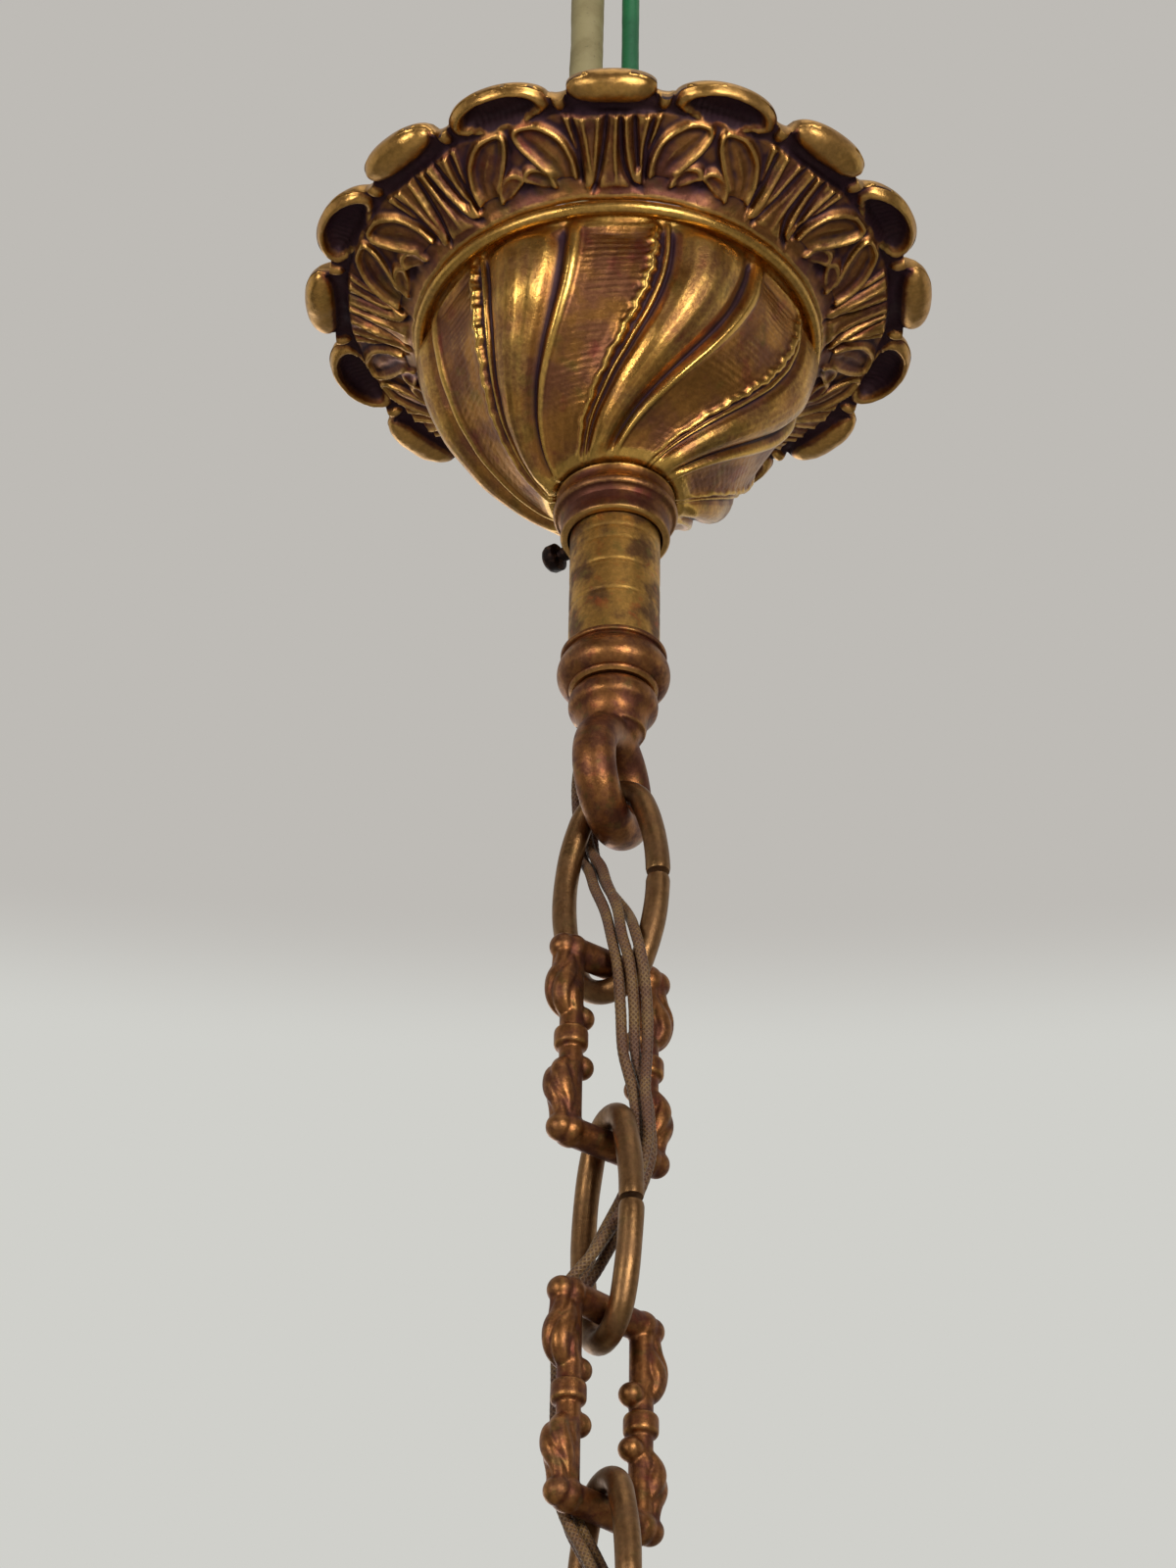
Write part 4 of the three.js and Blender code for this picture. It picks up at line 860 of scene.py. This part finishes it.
finished(markHollows(piece, (6, 20)), "canopy", shadedGiltFlange, ["canopy_collar"], 40)

shank, head, top = screw["shank"], screw["head"], screw["shank"] + screw["headLength"]
profile = [(0.02, 0), (0.9, 0.02), (1.25, 0.3), (screw["radius"], 0.6), (screw["radius"], shank - 0.1),
           (2.1, shank), (head, shank + 0.35), (head, top - 0.3), (2.25, top + 0.3), (1.7, shank + 2.9),
           (0.9, shank + 3.3), (0.02, shank + 3.42)]
piece = turnedPiece("set_screw_head", profile, 48)
cutAway(piece, [box((0, 0, shank + 3.5), screw["slot"])])
seat = Vector((screw["start"] * math.sin(turnIn), -screw["start"] * math.cos(turnIn), low + screw["rise"]))
moved(piece, Matrix.Translation(seat * mm) @ Matrix.Rotation(turnIn - math.pi / 2, 4, "Z")
      @ Matrix.Rotation(math.pi / 2, 4, "Y"))
finished(piece, "set_screw", blackSteel, ["set_screw"], 35)
print("collar and screw made")

# Ring, head, stem and coupling
ring = {"radius": 9.0, "wire": 2.6, "z": -6.4, "skin": 0.3}
foot = [(0.02, -13.9), (4.9, -14), (6.3, -15.1), (6.6, -15.5), (6.6, -17.7), (6.3, -18), (4.9, -18),
        (4.9, -22.4), (4.7, -22.6), (0.02, -22.6)]
parts = [torus(ring["radius"], ring["wire"], ring["z"], 32), turnedPiece("foot", foot, 64)]
piece = melted("hook_ring", parts, ring["skin"], 3)
finished(markHollows(piece, (6, 24)), "stem", giltCast, ["ceiling_ring"])

head = {"top": -18.3, "bottom": -37.8, "chamberTop": -23.2, "chamberFloor": -30.4, "wireHole": 3}
top, bottom = head["top"], head["bottom"]
profile = [(5.2, top), (8.9, top), (9.5, top - 0.2), (9.9, top - 0.6), (10, top - 1.2), (10, bottom + 1.2),
           (9.9, bottom + 0.6), (9.5, bottom + 0.2), (8.9, bottom), (8.5, bottom),
           (8.5, head["chamberFloor"]), (5.5, head["chamberFloor"]), (5.5, head["chamberTop"]),
           (5.2, head["chamberTop"])]
piece = turnedPiece("head_joint", profile, 96)
holeZ = (head["chamberTop"] + head["chamberFloor"]) / 2
cutAway(piece, [rod((0, 3, holeZ), (0, 14, holeZ), head["wireHole"])])
finished(markHollows(piece, (6, 20)), "stem", stemBrass, ["head_coupling"], 35)

stem = {"radius": 8.2, "bore": 6.2, "top": -30.7, "bottom": -111.6,
        "grooves": [(-83.4, 0.1), (-86.2, 0.07), (-91.4, 0.16), (-92.3, 0.08), (-98.1, 0.14)]}
heights = np.r_[stem["top"], np.arange(-31, -80, -3.5), np.arange(-80, -107, -0.3), -108, stem["bottom"]]
depth = sum(d * np.exp(-((heights - z) / 0.32) ** 2) for z, d in stem["grooves"])
profile = [(stem["bore"], stem["top"])] + [(stem["radius"] - d, z) for z, d in zip(heights, depth)]
profile += [(stem["bore"], stem["bottom"])]
piece = turnedPiece("stem_pipe", profile, 96)
finished(markHollows(piece, (4, 12)), "stem", stemBrass, ["stem_tube"], 40)

coupling = {"top": -107.4, "bottom": -116.1, "floor": -111.9, "bore": 5.9, "socket": 8.5}
profile = rounded([(9.0, -107.4), (9.45, -107.6), (9.5, -108.0), (9.4, -108.4), (8.95, -108.6),
                   (8.95, -109.0), (9.35, -109.5), (9.9, -110.7), (10.1, -112.0), (9.9, -113.3),
                   (9.3, -114.3), (8.5, -115.0), (8.0, -115.2), (7.9, -115.6), (7.4, -116.1)], 4, (0, 4, 5, 12))
profile = [(coupling["socket"], coupling["top"]), *profile, (coupling["bore"], coupling["bottom"]),
           (coupling["bore"], coupling["floor"]), (coupling["socket"], coupling["floor"])]
piece = turnedPiece("turned_coupling", profile, 128)
finished(markHollows(piece, (6, 24)), "stem", giltCast, ["lower_coupling"], 40)
print("stem made")

# Thick eye under its bead
eye = {"z": -135.3, "radius": 8.8, "wire": 3.5, "breadth": 1.1, "turn": 68, "top": -116.4, "low": -125,
       "spigotTop": -112.5, "spigot": 5.6, "skin": 0.28,
       "drill": ((0.07, -0.07, -107.4), (-4.83, 4.93, -126.5), 3)}
stock = rounded([(6.9, eye["top"]), (7.8, eye["top"] - 1.2), (8, eye["top"] - 2.5), (7.8, eye["top"] - 3.8),
                 (6.9, eye["top"] - 5), (6.2, eye["top"] - 6.4), (5.8, eye["low"])], 4)
profile = [(0.02, eye["spigotTop"]), (eye["spigot"], eye["spigotTop"]), (eye["spigot"], eye["top"]), *stock,
           (0.02, eye["low"])]
parts = [torus(eye["radius"], eye["wire"], eye["z"], 40, eye["turn"], eye["breadth"]),
         turnedPiece("stock", profile, 64), ball(0, 0, -124.2, 5.2, (1, 1, 0.8))]
piece = melted("thick_eye", parts, eye["skin"], 6)
cutAway(piece, [rod(*eye["drill"])])
finished(markHollows(piece, (8, 40)), "stem", giltCast, ["suspension_eye"], 50)
print("eye made")

# Plain split links
plain = {"halfWidth": 9.4, "halfLength": 20.6, "endRadius": 6.8, "wire": 2.15, "cut": 1.15,
         "links": {1: (-158.75, -32), 3: (-225.95, -66), 5: (-293.15, -66)}}
a, b, e = plain["halfWidth"], plain["halfLength"], plain["endRadius"]
sideRadius = (a * a + (b - e) ** 2 - e * e) / (2 * (a - e))
turn = math.asin((b - e) / (sideRadius - e))
gap = plain["cut"] / 2 / sideRadius
arcs = [(a - sideRadius, 0, sideRadius, gap, turn), (0, b - e, e, turn, math.pi - turn),
        (sideRadius - a, 0, sideRadius, math.pi - turn, math.pi + turn),
        (0, e - b, e, math.pi + turn, wholeTurn - turn),
        (a - sideRadius, 0, sideRadius, wholeTurn - turn, wholeTurn - gap)]
outline = []
for x, z, radius, start, end in arcs:
    s = np.linspace(start, end, 60)
    outline.append(np.stack([x + radius * np.cos(s), 0 * s, z + radius * np.sin(s)], 1))
linkLine = evenLine(np.concatenate([arc[:-1] for arc in outline[:-1]] + outline[-1:]), 0.7)
distance = lineDistance(linkLine)
angle = wholeTurn * np.arange(24) / 24
for number, (z, turnDegrees) in plain["links"].items():
    dent = 1 + 0.012 * np.sin(distance * 0.5 + number)[:, None]
    dent = dent + 0.008 * np.sin(3 * angle[None] + distance[:, None] * 0.4)
    radii = plain["wire"] * dent / dent.max()
    radii[[0, -1]] *= 0.93
    piece = tubePiece(f"wire_link_{number}", sweptPoints(linkLine, radii, 24), distance)
    placed(piece, (0, 0, z * mm), turnDegrees)
    finished(markHollows(piece, (6, 20)), f"link_{number}", linkBronze,
             [f"plain_link_{number}"], 50)
print("plain links made")

# Cast links
cast = {"bar": 2.5, "spacing": 35.9, "post": 7.8, "core": 2.0, "links": {2: (-192.35, 35), 4: (-259.55, 42)},
        "scroll": [(9.7, 18.0, 2.1), (9.5, 16.0, 2.0), (9.4, 13.4, 2.4), (9.8, 10.5, 2.95), (9.4, 7.7, 2.9),
                   (7.8, 5.6, 2.2), (5.9, 4.8, 1.5)],  # across, up from the middle, radius
        "flutes": 4, "fluteDepth": 0.13, "fluteTwist": 0.42, "sides": 40, "ball": (5.6, 4.9, 2.1),
        "knob": (9.7, 2.4), "cap": 2.75, "band": (1.9, 2.9), "bevel": 0.8, "skin": 0.24}


def castLinkPiece(name):  # end bars, fluted scrolls, bands, balls and knobs, melted together
    parts = []
    barZ, post = cast["spacing"] / 2, cast["post"]
    ballX, ballZ, ballRadius = cast["ball"]
    knobX, knobRadius = cast["knob"]
    scroll = np.array(rounded(cast["scroll"], 10))
    line = np.stack([scroll[:, 0], 0 * scroll[:, 0], scroll[:, 1]], axis=1)
    distance = lineDistance(line)
    angle = wholeTurn * np.arange(cast["sides"]) / cast["sides"]
    for end in (-1, 1):
        parts.append(rod((-post, 0, end * barZ), (post, 0, end * barZ), cast["bar"]))
        for hand in (-1, 1):
            twist = hand * end * cast["fluteTwist"] * distance[:, None]
            flute = np.abs(np.cos(cast["flutes"] / 2 * angle[None] + twist))
            radii = scroll[:, 2:] * (1 - cast["fluteDepth"] * (1 - flute) ** 2 * 1.6)
            rings = sweptPoints(line * (hand, 1, end), radii, cast["sides"])
            parts += [tubePiece("scroll", rings, distance), ball(hand * ballX, 0, end * ballZ, ballRadius),
                      ball(hand * knobX, 0, end * barZ, knobRadius),
                      ball(hand * post, 0, end * barZ, cast["cap"], (1, 1, 1.05))]
    bandHalf, bandRadius = cast["band"]
    for x in (-post, post):
        parts.append(rod((x, 0, -barZ), (x, 0, barZ), cast["core"]))
        band = rod((x, 0, -bandHalf), (x, 0, bandHalf), bandRadius)
        parts.append(modify(band, "BEVEL", width=cast["bevel"] * mm, segments=4))
    return melted(name, parts, cast["skin"], 3)


model = castLinkPiece("cast_model")
for number, (z, turnDegrees) in cast["links"].items():
    piece = placed(copied(model, f"ornate_link_{number}"), (0, 0, z * mm), turnDegrees)
    finished(markHollows(piece, (8, 40)), f"link_{number}", giltCast, [f"cast_link_{number}"])
bpy.data.objects.remove(model)
print("cast links made")

# Terminal blocks and the ceiling fitting
block = {"pitch": 6.9, "barrel": 3.45, "height": 14, "foot": 3.6, "bore": 2.5, "screw": 1.4, "rise": 3.4,
         "skin": 0.3, "places": {"canopy_block": ("stem", (-3.4, 15, -10.9), 0),
                                 "lower_block": ("link_5", (0, 0, -337), 90)}}


def blockPiece(name):
    pitch, half, foot = block["pitch"], block["height"] / 2, block["foot"]
    parts = [rod((x, 0, -half), (x, 0, half), block["barrel"]) for x in (-pitch, 0, pitch)]
    parts.append(box((0, -foot / 2, 0), (2 * (pitch + block["barrel"]), foot, block["height"])))
    piece = melted(name, parts, block["skin"], 3)
    cutters = []
    for x in (-pitch, 0, pitch):
        cutters.append(rod((x, 0, -half - 1), (x, 0, half + 1), block["bore"]))
        for z in (-block["rise"], block["rise"]):
            cutters.append(rod((x, 1, z), (x, 6, z), block["screw"], 32))
    return cutAway(piece, cutters)


model = blockPiece("block_model")
for name, (body, place, turnDegrees) in block["places"].items():
    piece = placed(copied(model, name + "_shell"), Vector(place) * mm, turnDegrees)
    finished(markHollows(piece, (6, 20)), body, porcelain, [name + "_body"], 45)
bpy.data.objects.remove(model)

outlet = {"place": (-2.35, 15.1, 92), "radius": 13, "height": 10, "recess": 3, "clearance": 0.3}
x, y, z = outlet["place"]
radius, height = outlet["radius"], outlet["height"]
profile = rounded([(9.8, 0), (11.2, 0.7), (12.3, 2), (12.9, 4), (radius, 6)], 4)
profile = [(0.02, 0), (6, 0), *profile, (radius, 9.4), (12.6, height), (0.02, height)]
piece = turnedPiece("outlet_rose", [(r, h + z) for r, h in profile], 128)
moved(piece, Matrix.Translation((x * mm, y * mm, 0)))
cutters = []
for route, diameter in ((supplyRoute, wiring["supplyDiameter"]), (earthRoute, wiring["earthDiameter"])):
    x, y, _ = route[-1]
    cutters.append(rod((x, y, z - 1), (x, y, z + outlet["recess"]), diameter / 2 + outlet["clearance"]))
cutAway(piece, cutters)
finished(markHollows(piece, (6, 20)), "stem", porcelain, ["ceiling_outlet"], 35)

for node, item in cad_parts.items():  # clamps and their screws keep their solids
    if "_block_clamp_" in node or "_block_screw_" in node:
        for place in item.material_slots:
            place.material = plainBrass
print("blocks and fitting made")

# Surroundings: pale floor, pale wall, soft lamps
surroundings = {
    "floorZ": -1.0, "floorSize": 8, "floor": (206, 204, 198), "wallHigh": (190, 187, 182),
    "wallLow": (208, 208, 203), "split": 34.3, "room": (78, 66, 66), "fill": 0.36,
}
bpy.ops.object.select_all(action="DESELECT")
bpy.ops.mesh.primitive_plane_add(size=surroundings["floorSize"], location=(0, 0, surroundings["floorZ"]))
floor = bpy.context.object
floor.name = "floor"
floor.data.materials.append(newMaterial("paleFloor", surface, tint(*surroundings["floor"]), 0.9, 0.0))

world = bpy.data.worlds.new("surroundings")
world.use_nodes = True
bpy.context.scene.world = world
sheet = Sheet(world.node_tree)
way = sheet.node("SeparateXYZ", None, {0: sheet.node("TexCoord", output=0)})
behind, height = way.output(1), way.output(2)
split = math.sin(math.radians(surroundings["split"]))
wall = sheet.mixed(sheet.eased(height, split - 0.014, split + 0.014), surroundings["wallLow"],
                   surroundings["wallHigh"])
rays = sheet.node("LightPath")
facing = rays.output("Is Camera Ray")
# the camera sees the wall all round, and everything else sees a darker room in front of the object
wall = sheet.mixed((1 - facing) * sheet.eased(behind, 0.1, -0.4), wall, surroundings["room"])
seen = facing.most(rays.output("Is Glossy Ray")).most(rays.output("Is Transmission Ray"))
strength = seen * (1 - surroundings["fill"]) + surroundings["fill"]
back = sheet.node("Background", None, {"Color": wall, "Strength": strength})
sheet.node("OutputWorld", None, {"Surface": back})

lamps = {  # direction from the object, distance in m, size in m, watts
    "keyRight": ((0.38, -0.92, -0.08), 1.3, (0.3, 0.42), 10),
    "keyLeft": ((-0.65, -0.74, -0.05), 1.4, (0.26, 0.4), 6),
    "topFill": ((0.1, -0.35, 0.9), 1.6, (1.2, 1.2), 5),
    "backFill": ((-0.3, 0.9, 0.1), 1.8, (1.0, 1.0), 5),
}
for name, (direction, distance, (width, height), watts) in lamps.items():
    way = Vector(direction).normalized()
    light = bpy.data.lights.new(name, "AREA")
    light.shape, light.size, light.size_y, light.energy = "RECTANGLE", width, height, watts
    lamp = bpy.data.objects.new(name, light)
    lamp.location = Vector((0, 0, -0.14)) + way * distance
    lamp.rotation_euler = way.to_track_quat("Z", "Y").to_euler()
    bpy.context.collection.objects.link(lamp)
bpy.context.scene.view_settings.view_transform = "Standard"

print("ready")
